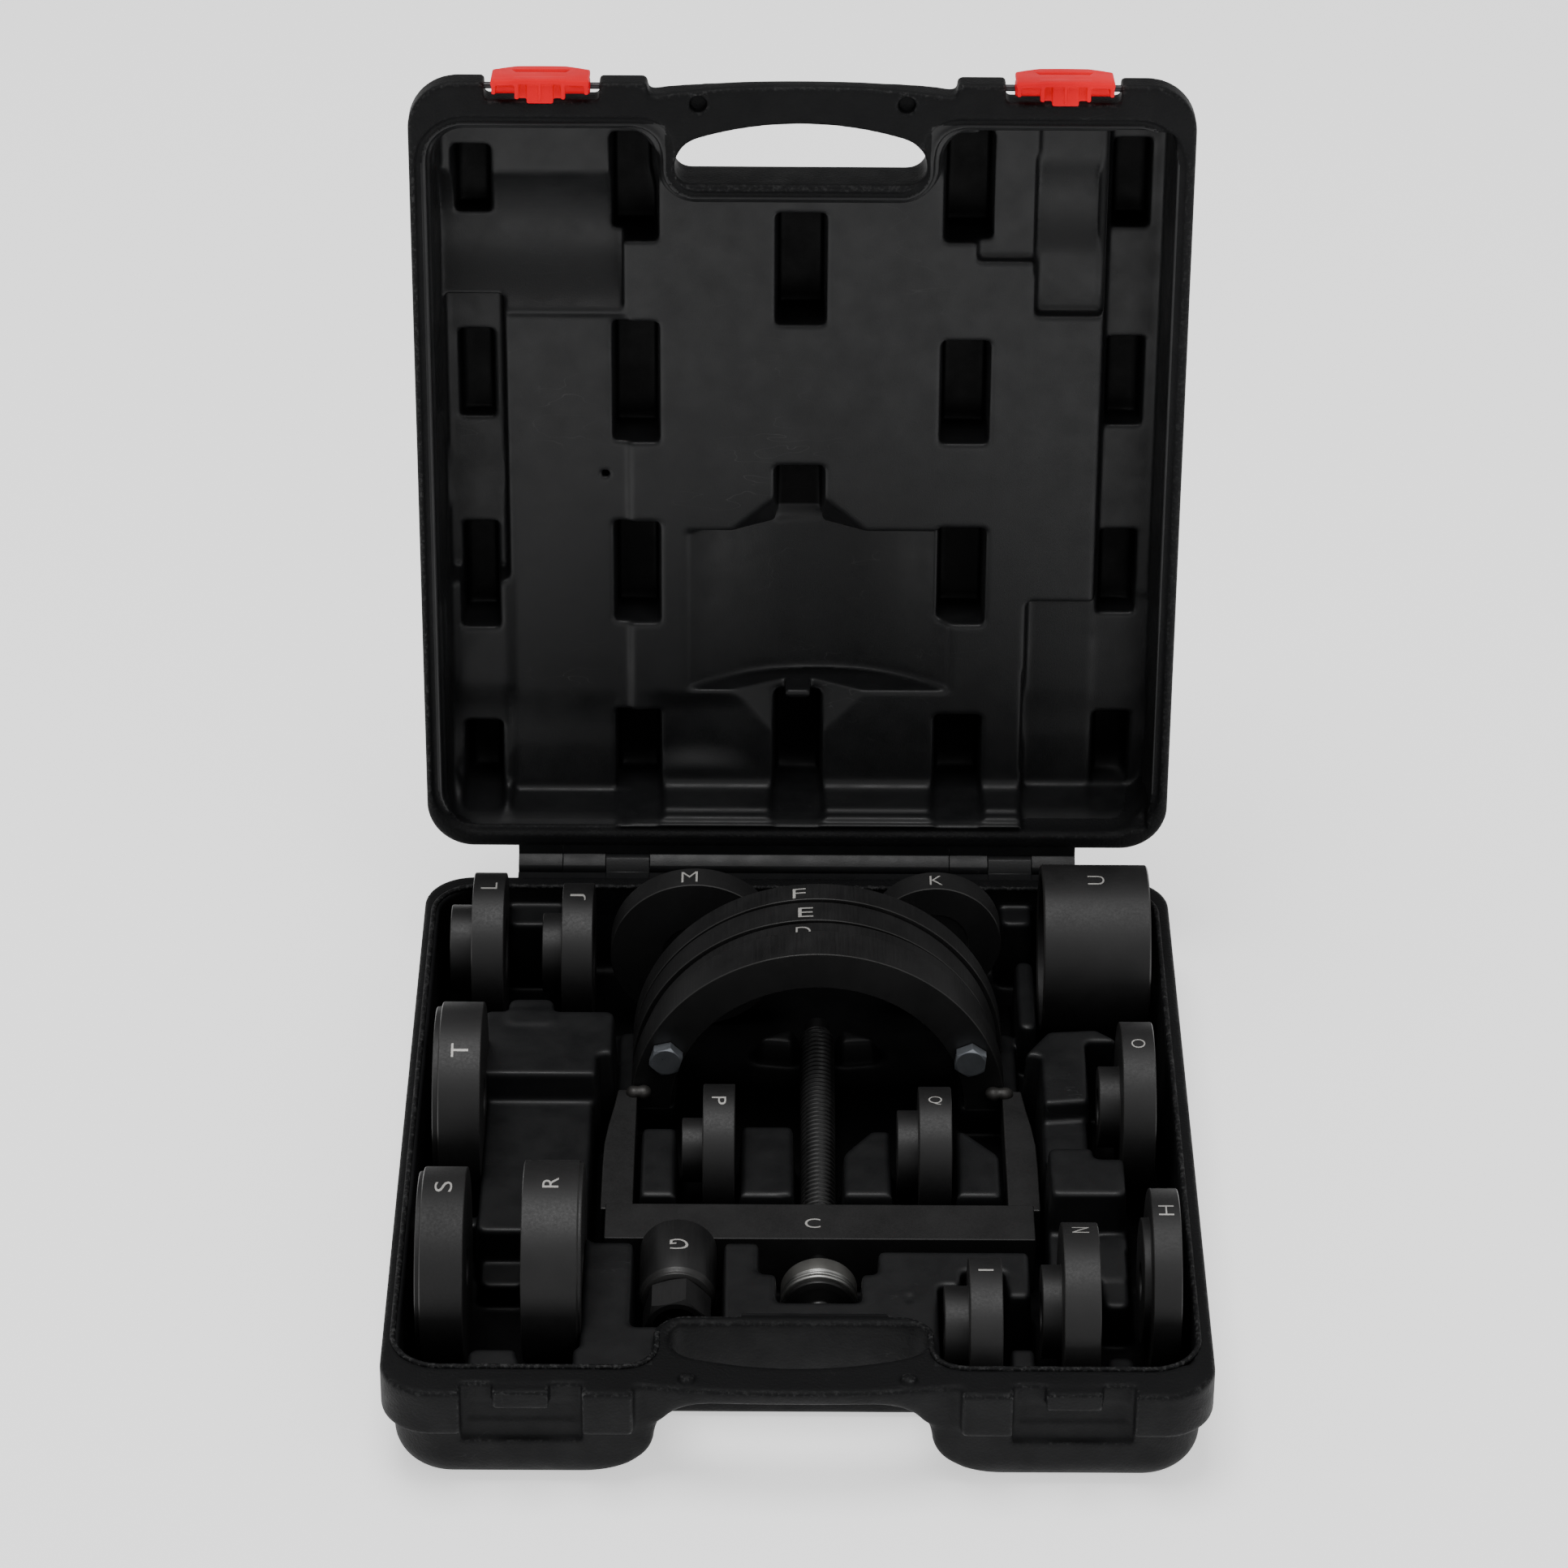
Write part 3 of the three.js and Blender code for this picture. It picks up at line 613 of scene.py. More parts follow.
# a darker copy of the black oxide: painted shade for the discs S, M and K, which sit in shade
BLACK_SHADED = metal("black_oxide_painted_shade", (0.0055, 0.0054, 0.0056), 0.6, metallic=0.15)
BLACK_Y = metal("black_oxide_y", (0.0105, 0.0104, 0.0106), 0.46, "y", scale=900, metallic=0.25)
EDGE = metal("worn_edge", (0.026, 0.0255, 0.025), 0.42, metallic=0.3)
THREAD = metal("oiled_thread", (0.011, 0.011, 0.011), 0.36, scale=300, depth=0.00001, metallic=0.4)
ZINC = metal("zinc", (0.42, 0.45, 0.49), 0.33, metallic=0.9)
STEEL = metal("ground_steel", (0.12, 0.118, 0.111), 0.47, "x", scale=1900, metallic=0.8)
BRIGHT = metal("polished_steel", (0.3, 0.3, 0.29), 0.36, "x", scale=1900, metallic=0.95)
PIN = metal("pin", (0.03, 0.028, 0.03), 0.4, metallic=0.5)
ETCH = metal("etched_letter", (0.42, 0.41, 0.39), 0.5, metallic=0.3)


# ---- case ----

def give(ob, body, node_name):
    """Ties a piece to its body, the node it replaces, if any."""
    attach(ob, body)
    if node_name:
        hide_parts(node_name)


def moulding_object(name, m, body, node_name, inside, lit, dark, pose=None):
    """One case half. Faces within the rim and less than inside mm deep take the inner material.

    The pockets' floors get painted shade: what the surface returns falls off between depths lit and dark.
    """
    verts, quads = m.mesh()
    verts = relax(verts, quads, 2, 0.4)
    centre = verts[quads].mean(1)
    seal = rect(centre[:, 0], centre[:, 1], *SEAL_PLAN)
    jog = rect(centre[:, 0], centre[:, 1], *JOG_PLAN)
    inner = (np.maximum(seal, -jog) < 0.9) & (np.abs(centre[:, 2]) < inside)
    # painted shade: 1 near the rim, falling to 0.25 between the depths lit and dark
    shade = 1 - 0.75 * np.clip((np.abs(verts[:, 2]) - lit) / (dark - lit), 0, 1)
    if pose:                                 # not in the half-round recess over the rings
        ring = np.hypot(verts[:, 0] - AXIS_X, verts[:, 2] - AXIS_Z) - RECESS_R
        shade[(np.abs(ring) < 3) & (np.abs(verts[:, 1] - RECESS_Y) < 56)] = 1
        verts = pose(verts)
    ob = fast_object(name, to_row(verts), quads, SHELL_OUT, shade)
    ob.data.materials.append(SHELL_IN)
    ob.data.polygons.foreach_set("material_index", inner.astype(np.int32))
    give(ob, body, node_name)


# the last two numbers are the depths where the painted shade starts and where it is fullest
moulding_object("base_moulding", base_form(), "base", "case_base", 63.4, 30, 54)
moulding_object("lid_moulding", lid_form(), "lid", "case_lid", 72.5, 57, 70, swing)


def seal_bead(segs=10):
    """A thin round bead that follows the rim's inner edge, as a closed tube."""
    def edge(p):
        return float(seal_line(p[0], p[1])) - BEAD_OUT

    def slope(p):
        across = edge(p + [0.05, 0]) - edge(p - [0.05, 0])
        endways = edge(p + [0, 0.05]) - edge(p - [0, 0.05])
        return np.array([across, endways]) / 0.1

    step, near = 1.6, 1.9                    # mm walked each time, and how near the start it ends
    p, path = np.array([0.0, SEAL_PLAN[3] + BEAD_OUT]), []
    while len(path) < 3000:
        g = slope(p)
        p = p - g * edge(p) / max(g @ g, 0.25)
        path.append(p.copy())
        if len(path) > 50 and math.dist(p, path[0]) < near:
            break
        g = slope(p)
        g /= max(np.hypot(*g), 1e-6)
        p = p + np.array([g[1], -g[0]]) * step
    verts, faces = [], []
    n = len(path)
    for i, q in enumerate(path):
        t = path[(i + 1) % n] - path[i - 1]
        t /= np.hypot(*t)
        out = np.array([t[1], -t[0]])
        by_handle = (q[1] < -380) * (abs(q[0] + 2) < 84)
        sunk = 2.6 * min(max((q[1] + 436.0) / 10, 0), 1) * by_handle
        for k in range(segs):
            a = 2 * math.pi * k / segs
            height = BEAD_Z - sunk + BEAD_R * 0.9 * math.sin(a)
            verts.append((*(q + out * BEAD_R * math.cos(a)), height))
    for i in range(n):
        for k in range(segs):
            a, b = i * segs + k, i * segs + (k + 1) % segs
            c, d = ((i + 1) % n) * segs + (k + 1) % segs, ((i + 1) % n) * segs + k
            faces.append((a, d, c, b))
    return verts, faces


def knuckle_piece(name, x0, x1, side, body, pose, r):
    """One hinge barrel with its web: a strip of the rim drawn out round the pin."""
    outline = []
    for i in range(49):                      # from the underside of the web round to its top
        t = math.radians(-118 + 236 * i / 48)
        outline.append((HINGE[0] + r * math.cos(t), r * math.sin(t) * side))
    outline += [(-4.0, side * 6.9), (-4.0, side * 0.5), (4.9, side * 0.5)]
    ob = prism(name, outline, "x", x0, x1, SATIN, pose)
    add_bevel(ob, 0.3, 50)
    give(ob, body, None)


def hinge_strip(name, x0, x1, side, body, pose):
    """The rim's edge beside another half's barrel, hollowed to clear it."""
    outline = [(-4.0, side * 6.9), (-4.0, side * 0.5)]
    for i in range(9):
        z = 0.5 + 6.4 * i / 8
        outline.append((HINGE[0] - math.sqrt(7.55 ** 2 - z ** 2), side * z))
    give(prism(name, outline, "x", x0, x1, SATIN, pose, False), body, None)


for i, (x0, x1) in enumerate(BASE_SPANS):
    knuckle_piece(f"base_knuckle_{i + 1}", x0, x1, -1, "base", None, BARREL_R)
    hinge_strip(f"lid_strip_{i + 1}", x0 - 0.1, x1 + 0.1, 1, "lid", swing)
for i, (x0, x1, r) in enumerate(LID_SPANS):
    knuckle_piece(f"lid_knuckle_{i + 1}", x0, x1, 1, "lid", swing, r)
    hinge_strip(f"base_strip_{i + 1}", x0 - 0.06, x1 + 0.06, -1, "base", None)

v, f = seal_bead()
give(new_object("seal_bead", to_row(v), f, True, [SHELL_OUT]), "base", None)


# ---- latches ----

def latch_form():
    """The latch shut, x measured from its middle."""
    m = Moulding((-31, -496, -24), (31, -474, 16), LATCH_VOXEL)
    x, y, z = m.x, m.y, m.z

    def block(at, half_sizes, edge, ends):
        """A box about a point, its edges along Y rounded by edge and its Y ends by ends."""
        (ax, ay, az), (hx, hy, hz) = at, half_sizes
        face = smax(np.abs(x - ax) - hx, np.abs(z - az) - hz, edge)
        return smax(face, np.abs(y - ay) - hy, ends)

    half = 27 - np.clip((z - 4.5) / 6.9, 0, 1) * 13.6
    plate = smax(np.abs(x) - half, np.abs(z + 4.3) - 15.7, 1.0)
    bow = 0.0011 * (x ** 2) + 0.006 * np.maximum(-z - 6, 0) ** 2
    m.add(smax(plate, np.abs(y + 490.9 - bow * 0.6) - 1.6, 1.0))
    for s in (-1, 1):                        # side skirts
        m.add(block((s * 25.6, -487.2, -7), (1.2, 4, 12), 0.8, 0.8), 1.2)
    barrel = smax(np.sqrt((y - LATCH_Y) ** 2 + (z - LATCH_Z) ** 2) - 4.5, np.abs(x) - 27, 1)
    web = block((0, -486.5, 7.2), (26, 4.2, 3.9), 0.6, 0.6)
    m.add(smin(barrel, web, 1.5), 1.0)
    window = smax(np.abs(x) - 15 - 0.4 * z, np.abs(z + 0.4) - 3.0, 0.8)
    m.cut(smax(window, np.abs(y + 490) - 9.5, 0.3), 0.4)
    m.add(block((0, -486.4, -16.8), (14, 5.8, 2.8), 0.8, 0.8), 0.8)          # hook
    m.cut(block((0, -484.1, -21), (11.6, 5.0, 4.6), 0.6, 0.6), 0.5)
    m.add(block((0, -484.2, -16.2), (7.4, 6.3, 2.0), 0.8, 1.2), 0.6)
    m.add(block((0, -485, -17.2), (0.8, 5.2, 2.6), 0.5, 0.5), 0.5)
    bore = np.sqrt((y - LATCH_Y) ** 2 + (z - LATCH_Z) ** 2) - 2.05
    m.cut(bore + 0 * x, 0.2)
    return m.mesh()


LATCH = latch_form()
for side, at in LATCHES:                     # each stands a little off its catch
    v = relax(LATCH[0], LATCH[1], 1, 0.3) + np.array([at, 0, 0])
    eased = tilt(v, (LATCH_Y, LATCH_Z), EASE)
    ob = fast_object(f"latch_{side}_red", to_row(swing(eased)), LATCH[1], RED)
    give(ob, f"{side}_latch", f"latch_{side}")


# ---- turned parts ----

def corners(points, cut):
    """Closed profile with every corner broken by a small flat."""
    out = []
    n = len(points)
    for i in range(n):
        p = np.array(points[i], float)
        for q in (points[i - 1], points[(i + 1) % n]):
            d = np.array(q, float) - p
            length = math.hypot(*d)
            out.append(tuple(p + d / length * min(cut, 0.4 * length)))
    return out


def rod(r, start, stop, inner=0.01):
    """Profile of a plain cylinder or tube."""
    return [(inner, start), (r, start), (r, stop), (inner, stop)]


def turned(name, points, cut, axis, centre, mats, segs=128, shift=None, short=1.7):
    """A closed (radius, position) profile, its corners broken, turned about an axis x or y.

    Where there is a second material, the profile's steps shorter than short take it.
    """
    profile = corners(points, cut)
    n = len(profile)
    rows, faces, index = [], [], []
    for i in range(segs):
        t = 2 * math.pi * i / segs
        for r, h in profile:
            c, s = r * math.cos(t), r * math.sin(t)
            rows.append((h, c, s) if axis == "x" else (s, h, c))
    worn = [math.dist(profile[j], profile[(j + 1) % n]) < short for j in range(n)]
    for i in range(segs):
        for j in range(n):
            a, b = i * n + j, i * n + (j + 1) % n
            c, d = ((i + 1) % segs) * n + (j + 1) % n, ((i + 1) % segs) * n + j
            faces.append((a, b, c, d) if axis != "y" else (a, d, c, b))
            index.append(int(worn[j] and len(mats) > 1))
    rows = np.array(rows) + np.array(centre, float)
    if shift:
        rows = shift(rows)
    ob = new_object(name, to_row(rows), faces, True, mats)
    ob.data.polygons.foreach_set("material_index", index)
    weld(ob)
    ob.data.set_sharp_from_angle(angle=math.radians(28))
    return ob


def letter(char, tall, wide, quarter, heavy=0.0):
    """Flat mesh of a letter, centred and turned by quarter turns: points in mm, and faces."""
    cu = bpy.data.curves.new("letter_" + char, "FONT")
    cu.body = char
    cu.size = 10
    cu.offset = heavy - 0.12
    cu.resolution_u = 4
    ob = put("letter_" + char, cu)
    bpy.context.view_layer.update()
    graph = bpy.context.evaluated_depsgraph_get()
    me = bpy.data.meshes.new_from_object(ob.evaluated_get(graph))
    bpy.data.objects.remove(ob)
    co = np.zeros(len(me.vertices) * 3, np.float32)
    me.vertices.foreach_get("co", co)
    co = co.reshape(-1, 3)[:, :2].astype(float)
    lo, hi = co.min(0), co.max(0)
    co = (co - (lo + hi) / 2) / np.maximum(hi - lo, 1e-3)
    co *= np.array([wide, tall])
    t = quarter * math.pi / 2
    co = co @ np.array([[math.cos(t), math.sin(t)], [-math.sin(t), math.cos(t)]])
    polys = [tuple(p.vertices) for p in me.polygons]
    bpy.data.meshes.remove(me)
    return co, polys


def etched(char, tall, wide, quarter, place, body, heavy=0.0):
    flat, polys = letter(char, tall, wide, quarter, heavy)
    bm = bmesh.new()
    vs = [bm.verts.new((p[0], p[1], 0)) for p in flat]
    for p in polys:
        try:
            bm.faces.new([vs[i] for i in p])
        except ValueError:
            pass
    bmesh.ops.remove_doubles(bm, verts=bm.verts, dist=0.01)
    out = bmesh.ops.extrude_face_region(bm, geom=bm.faces[:])
    for g in out["geom"]:
        if isinstance(g, bmesh.types.BMVert):
            g.co.z = 1.0
    bmesh.ops.recalc_face_normals(bm, faces=bm.faces)
    bmesh.ops.triangulate(bm, faces=bm.faces)
    for _ in range(2):
        long_edges = [ed for ed in bm.edges if ed.calc_length() > 1.6]
        if long_edges:
            bmesh.ops.subdivide_edges(bm, edges=long_edges, cuts=1)
            bmesh.ops.triangulate(bm, faces=bm.faces)
    for v in bm.verts:
        v.co = to_row([place(v.co.x, v.co.y, 0.05 if v.co.z > 0.5 else -0.25)])[0]
    me = bpy.data.meshes.new(f"mark_{char}")
    bm.to_mesh(me)
    bm.free()
    me.materials.append(ETCH)
    give(put(f"mark_{char}", me), body, None)


def on_rim(axis, centre, r, along, angle):
    """Letter placer for a disc's rim. angle is measured from the top, towards the front or the right."""
    t0 = math.radians(angle)

    def place(u, v, lift):
        if axis == "x":                      # u runs along the disc's axis, v round the rim to the back
            t = t0 - v / r
            out = (r + lift) * math.sin(t)
            return (along + u, centre[0] - out, centre[1] + (r + lift) * math.cos(t))
        t = t0 + u / r
        out = (r + lift) * math.sin(t)
        return (centre[0] + out, along + v, centre[1] + (r + lift) * math.cos(t))
    return place


# letter, axis, flange from and to, boss end, flange r, boss r, the two other centre coordinates,
# then the etched letter: height, width, quarter turns, angle round the rim, stroke weight
ADAPTERS = [
    ("L", "x", -189.1, -170.5, -202.4, 45, 26, -59.9, -12, 9.4, 6.5, 1, 0, 0.0),
    ("J", "x", -137.2, -119.1, -149.1, 41, 23.3, -57.4, -16, 9.0, 6.0, 1, 3, 0.0),
    ("T", "x", -199.2, -175.9, -202.6, 53.5, 50.8, -219.4, -3, 9.4, 8.6, 1, 25, 0.12),
    ("S", "x", -200.9, -177.9, -203.6, 53.5, 51, -373.8, -3, 9.4, 9.0, 1, 0, 0.06),
    ("R", "x", -147.2, -117.2, -115.2, 54.5, 53, -370.5, -2, 8.6, 8.4, 1, 2, 0.1),
    ("P", "x", -52.5, -34.8, -64.3, 37, 18, -246.3, -19.5, 7.9, 6.6, -1, 5, 0.06),
    ("Q", "x", 67.6, 85.8, 55.8, 37, 23.8, -248, -19.5, 7.4, 7.6, 0, 1, 0.0),
    ("I", "x", 91.3, 108.7, 78.3, 40, 24.8, -411.9, -16.5, 8.0, 1.5, 1, -4, 0.1),
    ("N", "x", 141, 160.3, 130.4, 47.8, 25.1, -401.5, -10.5, 9.0, 7.0, 1, -14, 0.0),
    ("H", "x", 189, 204.2, 184.9, 49.5, 33.8, -378.3, -7, 8.2, 8.0, 1, 3, 0.0),
    ("O", "x", 181, 199.3, 169.2, 48, 22.8, -218.6, -8.5, 7.8, 7.2, 1, 6, 0.0),
    ("M", "y", -72.7, -55, -45, 49.7, 24, -59.3, -7, 10.5, 9.4, 0, -4, 0.0),
    ("K", "y", -66, -48.5, -38, 38.5, 20, 81, -2, 9.2, 7.4, 0, 0, 0.0),
]
for (char, axis, a, b, far, r, rb, u, v, tall, wide, quarter, angle, heavy) in ADAPTERS:
    bore, side = 10.5, -1 if far < a else 1
    face, back = (a, b) if side < 0 else (b, a)      # the boss stands on face
    profile = [(bore, far), (rb, far), (rb, face), (r, face), (r, back), (bore + 9, back),
               (bore + 8.2, back + side * 1.6), (bore, back + side * 1.6)]
    if r - rb < 6:                                   # shallow step: the face is dished inside the rim
        profile = [(bore, face + side * 1.4), (rb - 13, face + side * 1.4), (rb - 12, far), (rb, far),
                   (rb, face), (r, face), (r, back), (bore, back)]
    centre = (0, u, v) if axis == "x" else (u, 0, v)
    # S, M and K take the darker copy of the black oxide, painted shade
    ob = turned(f"adapter_{char}_turned", profile, 0.45, axis, centre,
                [BLACK_SHADED if char in "SMK" else BLACK, EDGE], short=0.8)
    give(ob, f"disc_{char}", f"adapter_{char}")
    etched(char, tall, wide, quarter, on_rim(axis, (u, v), r, (a + b) / 2, angle), f"disc_{char}", heavy)

uy, uz, r = SLEEVE_U
ob = turned("sleeve_U_turned", rod(r, 142.7, 204.7, 44), 0.9, "x", (0, uy, uz), [BLACK, EDGE], 160)
give(ob, "long_sleeve", "sleeve_U")
etched("U", 9.6, 8.6, 1, on_rim("x", (uy, uz), r, 173.7, 1), "long_sleeve")


def joined(name, obs):
    """Several meshes as one object."""
    bm = bmesh.new()
    mats = []
    for o in obs:
        graph = bpy.context.evaluated_depsgraph_get()
        me = bpy.data.meshes.new_from_object(o.evaluated_get(graph))
        remap = []
        for m in me.materials:
            if m not in mats:
                mats.append(m)
            remap.append(mats.index(m))
        for p in me.polygons:
            p.material_index = remap[p.material_index]
        bm.from_mesh(me)
    out = bpy.data.meshes.new(name)
    bm.to_mesh(out)
    bm.free()
    for m in mats:
        out.materials.append(m)
    for o in obs:
        bpy.data.objects.remove(o)
    return put(name, out)


# ---- puller frame ----

def bevelled(name, outline, along, a, b, mats, width):
    """A prism whose rounded edges take the second material."""
    ob = prism(name, outline, along, a, b, mats[0])
    ob.data.materials.append(mats[1])
    add_bevel(ob, width, 40, True).material = 1
    return ob


def half_ring(name, y0, y1, cx=AXIS_X, r=RING_R, edge=0.5):
    arc = [math.pi * i / 96 for i in range(97)]
    outline = [(cx + r * math.cos(t), AXIS_Z + r * math.sin(t)) for t in arc]
    outline += [(AXIS_X + RING_IN * math.cos(t), AXIS_Z + RING_IN * math.sin(t)) for t in reversed(arc)]
    return bevelled(name, outline, "y", y0, y1, [BLACK_Y, EDGE], edge)


D_R, E_R = RING_R - 2.5, RING_R - 1.4
# the front ring has a heavier front half, whose top hides the foot of its letter
front = half_ring("front", RING_FRONT + 0.15, -156.8, AXIS_X, RING_R, 0.55)
behind = half_ring("behind", -157.2, -144.9, AXIS_X + 0.4, D_R, 0.4)
rings = {"D": joined("ring_D", [front, behind]),
         "E": half_ring("ring_E", -143.9, -125.6, AXIS_X - 1.2, E_R, 0.5),
         "F": half_ring("ring_F", -124.6, -108.9)}
for char, ob in rings.items():
    give(ob, "puller", f"half_ring_{char}")
# letter: height, width, y, x from the ring's middle, stroke weight; the rim's own centre x and radius
for char, tall, wide, y, x, heavy, cx, r in (
        ("D", 10.5, 8.6, -153.8, -9.3, 0.0, 12.4, D_R), ("E", 9.4, 8.6, -135.8, -6.3, 0.07, 10.8, E_R),
        ("F", 9.4, 7.4, -118.2, -11.2, 0.0, 12, RING_R)):
    turn = math.degrees(math.asin(x / r))
    etched(char, tall, wide, 0, on_rim("y", (cx, AXIS_Z), r, y, turn), "puller", heavy)

BAR_HALF, LEG_HALF = 17, 13              # half heights of the cross bar and the legs
bar_plan = [(-106, -324.5), (131, -324.5), (131, -293), (-106, -293)]
ob = bevelled("crossbar", bar_plan, "z", AXIS_Z - BAR_HALF, AXIS_Z + BAR_HALF, [BLACK, BLACK], 0.7)
give(ob, "puller", "crossbar_C")
etched("C", 8.3, 8.6, 0, lambda u, v, lift: (8.6 + u, -310.4 + v, AXIS_Z + BAR_HALF + lift), "puller", 0.05)


def weld_bead(name, centre, spread):
    """A short run of overlapping, rippled weld metal."""
    reach = np.array([abs(spread[0]) + 8, 9, 8])
    m = Moulding(np.array(centre) - reach, np.array(centre) + reach, 0.7)
    rng = np.random.default_rng(7)
    for i in range(6):
        t = i / 5 - 0.5
        p = np.array(centre) + np.array(spread) * t + rng.normal(0, 0.5, 3)
        r = 3.6 - (0.5 * i) % 2 + rng.uniform(-0.4, 0.4)
        drop = np.sqrt((m.x - p[0]) ** 2 + ((m.y - p[1]) * 0.85) ** 2 + (m.z - p[2]) ** 2)
        m.add(drop - r, 1.4)
    v, q = m.mesh()
    return fast_object(name, to_row(v), q, BEAD)


BEAD = metal("weld_metal", (0.035, 0.033, 0.031), 0.5, scale=300, metallic=0.4)
for side, s in (("left", -1), ("right", 1)):
    inner = -91 if s < 0 else 117
    back, front = RING_FRONT - 0.3, -292.7
    # width of the leg at each place along it
    edge = [(0, back), (11, back), (13, -197), (15.6, -214), (17.5, -232), (18, -252), (18, front),
            (0, front)]
    plan = [(inner + s * w, y) for w, y in edge]
    ob = bevelled(f"leg_{side}", plan, "z", AXIS_Z - LEG_HALF, AXIS_Z + LEG_HALF, [BLACK, EDGE], 0.9)
    give(ob, "puller", f"side_leg_{side}")
    at = (inner + s * -1.5, back - 3.2, AXIS_Z + 14.0)
    bead = weld_bead(f"weld_{side}", at, (s * -9.0, 0.5, 1.0))
    give(bead, "puller", None)


def hex_body(name, across, length, y0, centre, turn, mats, hole=0.02, both=True, detail=8):
    """Hexagon along Y from y0 towards +Y, its front or both ends chamfered in the round."""
    flat = across / 2
    n = 6 * detail
    # rings of points from the hole's front edge to its back edge: radius, which end; 0 is the hexagon
    loops = ((hole, 0), (flat - 0.5, 0), (0, 0), (0, 1), (flat - 0.5, 1), (hole, 1))
    verts, faces = [], []
    for k, (radius, end) in enumerate(loops):
        for i in range(n):
            t = 2 * math.pi * i / n
            r, y = radius, length * end
            if not radius:
                r = flat / math.cos((t % (math.pi / 3)) - math.pi / 6)
                cut = max(0.0, r - (flat - 0.4)) * 0.55
                y += cut if end == 0 else -cut * both
            verts.append((centre[0] + r * math.sin(t + turn), y0 + y, centre[1] + r * math.cos(t + turn)))
            a, b = k * n, (k + 1) % len(loops) * n
            faces.append((a + i, a + (i + 1) % n, b + (i + 1) % n, b + i))
    ob = new_object(name, to_row(verts), faces, True, mats)
    weld(ob)
    ob.data.set_sharp_from_angle(angle=math.radians(20))
    return ob


HEX_M10, HEAD_H, BOLT_RING = 17, 6.6, 94    # across flats, head height, radius the bolts stand on
for side, deg, turn in (("left", 157, 0.28), ("right", 23, 0.1)):
    x = AXIS_X + BOLT_RING * math.cos(math.radians(deg))
    z = AXIS_Z + BOLT_RING * math.sin(math.radians(deg))
    head = hex_body("head", HEX_M10, HEAD_H, RING_FRONT - 0.35 - HEAD_H, (x, z), turn, [ZINC], both=False)
    shank = turned("shank", rod(4.9, RING_FRONT - 4, -93), 0.6, "y", (x, 0, z), [ZINC], 32)
    give(joined(f"bolt_{side}", [head, shank]), "puller", f"ring_bolt_{side}")
    nut = hex_body(f"nut_{side}", HEX_M10, 8, RING_BACK + 1, (x, z), 0.2, [ZINC], 5.3)
    give(nut, "puller", f"ring_nut_{side}")


# ---- spindle and thrust bearing ----

def threaded(name, r, depth, pitch, y0, y1, centre, mats, segs=56, per_turn=8):
    """A right-hand trapezoidal thread: rubbed crests take the second material."""
    n = int((y1 - y0) / pitch * per_turn)
    rows = np.linspace(y0, y1, n + 1)
    verts, crest = [], []
    for i in range(segs):
        t = 2 * math.pi * i / segs
        phase = np.abs((rows / pitch - i / segs) % 1.0 - 0.5) * 2        # 0 in the root, 1 on the crest
        height = np.clip((phase - 0.32) / 0.36, 0, 1)
        run = np.clip(np.minimum(rows - y0, y1 - rows) / 2.0, 0, 1)
        rad = r - depth * (1 - height) * run - (1 - run) * 0.9
        verts.append(np.stack([centre[0] + rad * math.sin(t), rows, centre[1] + rad * math.cos(t)], 1))
        crest.append(height[:-1] + height[1:] > 1.4)
    v = np.concatenate(verts)
    k = n + 1
    faces, index = [], []
    for i in range(segs):
        a, b = i * k, ((i + 1) % segs) * k
        for j in range(n):
            faces.append((a + j, b + j, b + j + 1, a + j + 1))
            index.append(int(crest[i][j]))
    caps = [tuple(i * k for i in range(segs))[::-1], tuple(i * k + n for i in range(segs))]
    ob = new_object(name, to_row(v), faces + caps, True, mats)
    ob.data.polygons.foreach_set("material_index", index + [0, 0])
    weld(ob)
    return ob


SPINDLE = (AXIS_X, 0, AXIS_Z)
thread = threaded("thread", 10.0, 1.7, 4.0, -323.2, -112, (AXIS_X, AXIS_Z), [THREAD, CREST])
tip = turned("tip", rod(7.5, -113, -100), 1.2, "y", SPINDLE, [THREAD, EDGE], 48)
neck_and_head = [(0.01, -322.6), (6.2, -322.6), (6.2, -344.9), (9.6, -345.5), (9.6, -363.9), (19.6, -363.9),
                 (19.6, -366), (16, -367.4), (9, -368.6), (8, -369.6), (8, -388), (0.01, -388)]
collar = turned("collar", neck_and_head, 0.5, "y", SPINDLE, [THREAD], 96)
give(joined("forcing_screw", [thread, tip, collar]), "forcing_spindle", "spindle_A")
race = [(10.5, -359.9), (20.2, -359.9), (20.9, -359.4), (20.9, -358.0), (20.2, -357.5), (20.2, -357.0),
        (21, -356.3), (21, -346.6), (10.5, -346.6)]
ob = turned("bearing_ring", race, 0.25, "y", SPINDLE, [STEEL, BRIGHT], 160)
give(ob, "thrust_carriage", "thrust_bearing")
washer = [(10.5, -363.5), (20.7, -363.5), (21.4, -362.8), (21.4, -361.2), (20.7, -360.5), (10.5, -360.5)]
ob = turned("bearing_washer", washer, 0.35, "y", SPINDLE, [BRIGHT], 160)
give(ob, "thrust_carriage", "thrust_washer")


# ---- sleeve nut ----

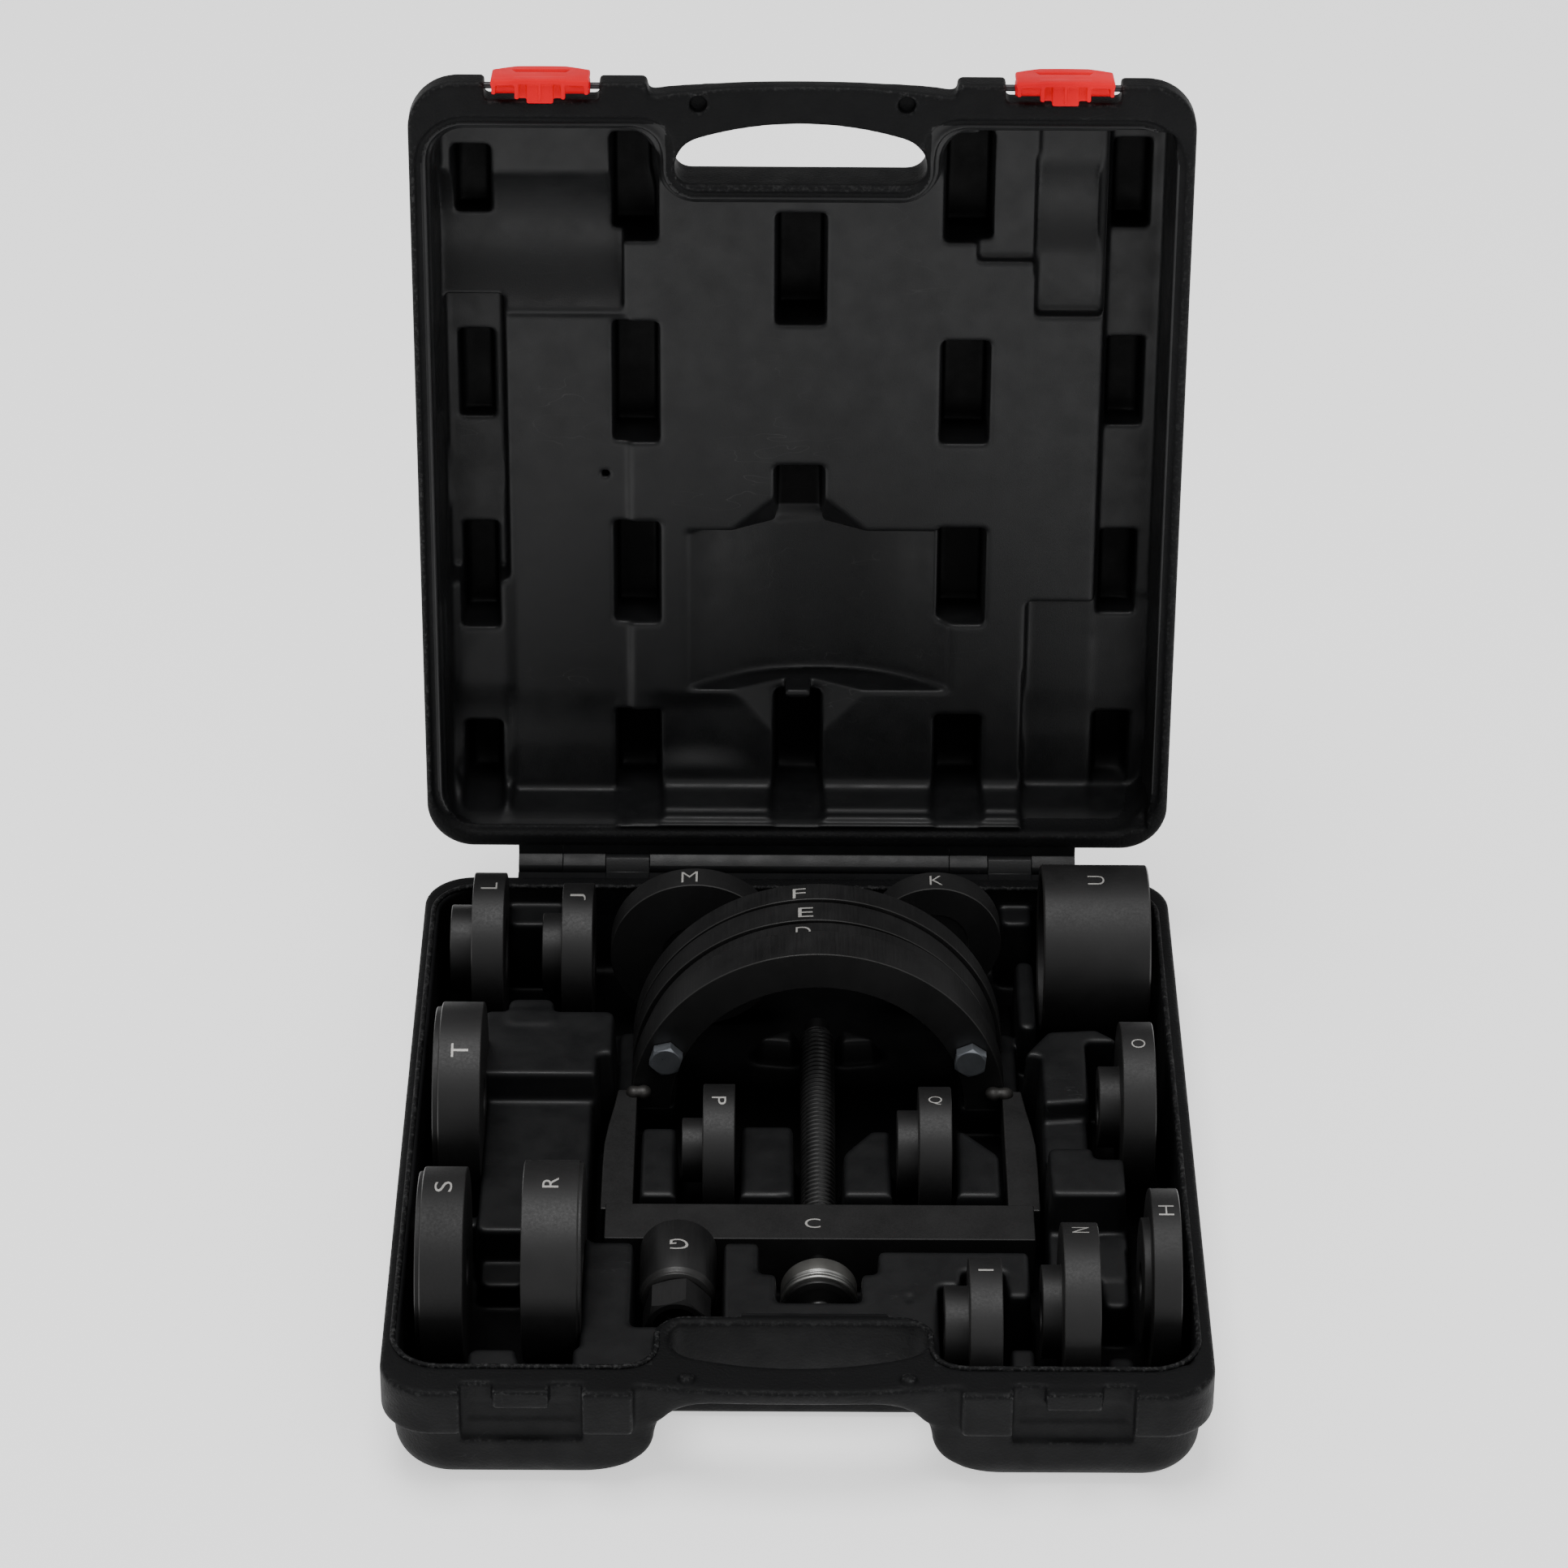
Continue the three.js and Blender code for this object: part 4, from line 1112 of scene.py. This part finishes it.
GX, GZ, BARREL_G = -64.9, -24.6, 20.9    # its axis x and z, the barrel's radius
stepped = [(11.5, -377.5), (17.0, -377.5), (19.4, -376.4), (19.4, -374.6), (BARREL_G, -373.0),
           (BARREL_G, -330.6), (19.7, -329.6), (11.5, -329.6)]
barrel = turned("barrel", stepped, 0.4, "y", (GX, 0, GZ), [BLACK_Y, EDGE], 96, short=1.9)
nose = hex_body("nose", 33, 21.2, -399.2, (GX, GZ), 0.27, [BLACK_Y], 13, detail=10)
give(joined("sleeve_nut", [barrel, nose]), "sleeve_nut", "sleeve_nut_G")
etched("G", 8.9, 10.2, 2, on_rim("y", (GX, GZ), BARREL_G, -352.6, 2), "sleeve_nut", 0.06)


# ---- pins ----

for side, x0, x1 in (("left", -160, -60), ("right", 60, 160)):
    ob = turned(f"hinge_rod_{side}", rod(2.2, x0, x1), 0.4, "x", (0, *HINGE), [PIN], 24)
    give(ob, "base", f"hinge_pin_{side}")
for side, at in LATCHES:
    pivot = (0, LATCH_Y, LATCH_Z)
    ob = turned(f"latch_rod_{side}", rod(1.9, at - 34, at + 34), 0.4, "x", pivot, [PIN], 24, swing)
    give(ob, "lid", f"latch_pivot_{side}")


# ---- stage ----

FAR = 60                                 # half the floor's side, m
square = [(-FAR, -FAR, 0), (FAR, -FAR, 0), (FAR, FAR, 0), (-FAR, FAR, 0)]
floor = new_object("floor", square, [(0, 1, 2, 3)], False)
mat, nt, b = material("floor")
for key, value in (("Base Color", (0.97, 0.97, 0.97, 1)), ("Roughness", 0.8),
                   ("Emission Color", (1, 1, 1, 1)), ("Emission Strength", 0.9)):
    b.inputs[key].default_value = value
floor.data.materials.append(mat)

SENSOR, LENS = 36, 126.506646            # mm
PITCH, ROLL, YAW = math.radians(32.87), math.radians(0.37), math.radians(0.14)
RIGHT_OF, ABOVE, AHEAD = 8.0, -55.3, 3283.94
right = np.array([1, 0, 0.0])
up = np.array([0, math.sin(PITCH), math.cos(PITCH)])
fwd = np.array([0, math.cos(PITCH), -math.sin(PITCH)])
origin = -right * RIGHT_OF - up * ABOVE - fwd * AHEAD
c, s = math.cos(YAW), math.sin(YAW)
turn = np.array([[c, s, 0], [-s, c, 0], [0, 0, 1]])
cr, sr = math.cos(ROLL), math.sin(ROLL)
axes = np.stack([turn @ (right * cr + up * sr), turn @ (up * cr - right * sr), -(turn @ fwd),
                 to_row([turn @ origin])[0]], 1)
cam = put("camera", bpy.data.cameras.new("camera"))
cam.data.lens = LENS
cam.data.sensor_width = SENSOR
cam.data.clip_end = 100
cam.matrix_world = Matrix([*axes.tolist(), [0, 0, 0, 1]])
bpy.context.scene.camera = cam


def area(name, place, target, size, power):
    """A rectangular lamp, aimed at a point. Places are metres in the row frame."""
    light = bpy.data.lights.new(name, "AREA")
    light.shape = "RECTANGLE"
    light.size, light.size_y = size
    light.energy = power
    ob = put(name, light)
    ob.location = place
    ob.rotation_euler = (Vector(target) - Vector(place)).to_track_quat("-Z", "Y").to_euler()


area("key", (-0.4, -0.05, 3.9), (0, 0, 0.2), (2.4, 1.8), 100)
area("fill", (1.3, -2.0, 2.1), (0, 0, 0.2), (1.6, 1.2), 9)
world = bpy.data.worlds.new("studio")
bpy.context.scene.world = world
world.use_nodes = True
sky = world.node_tree.nodes["Background"].inputs
sky["Color"].default_value = (1, 1, 1, 1)
sky["Strength"].default_value = 0.44
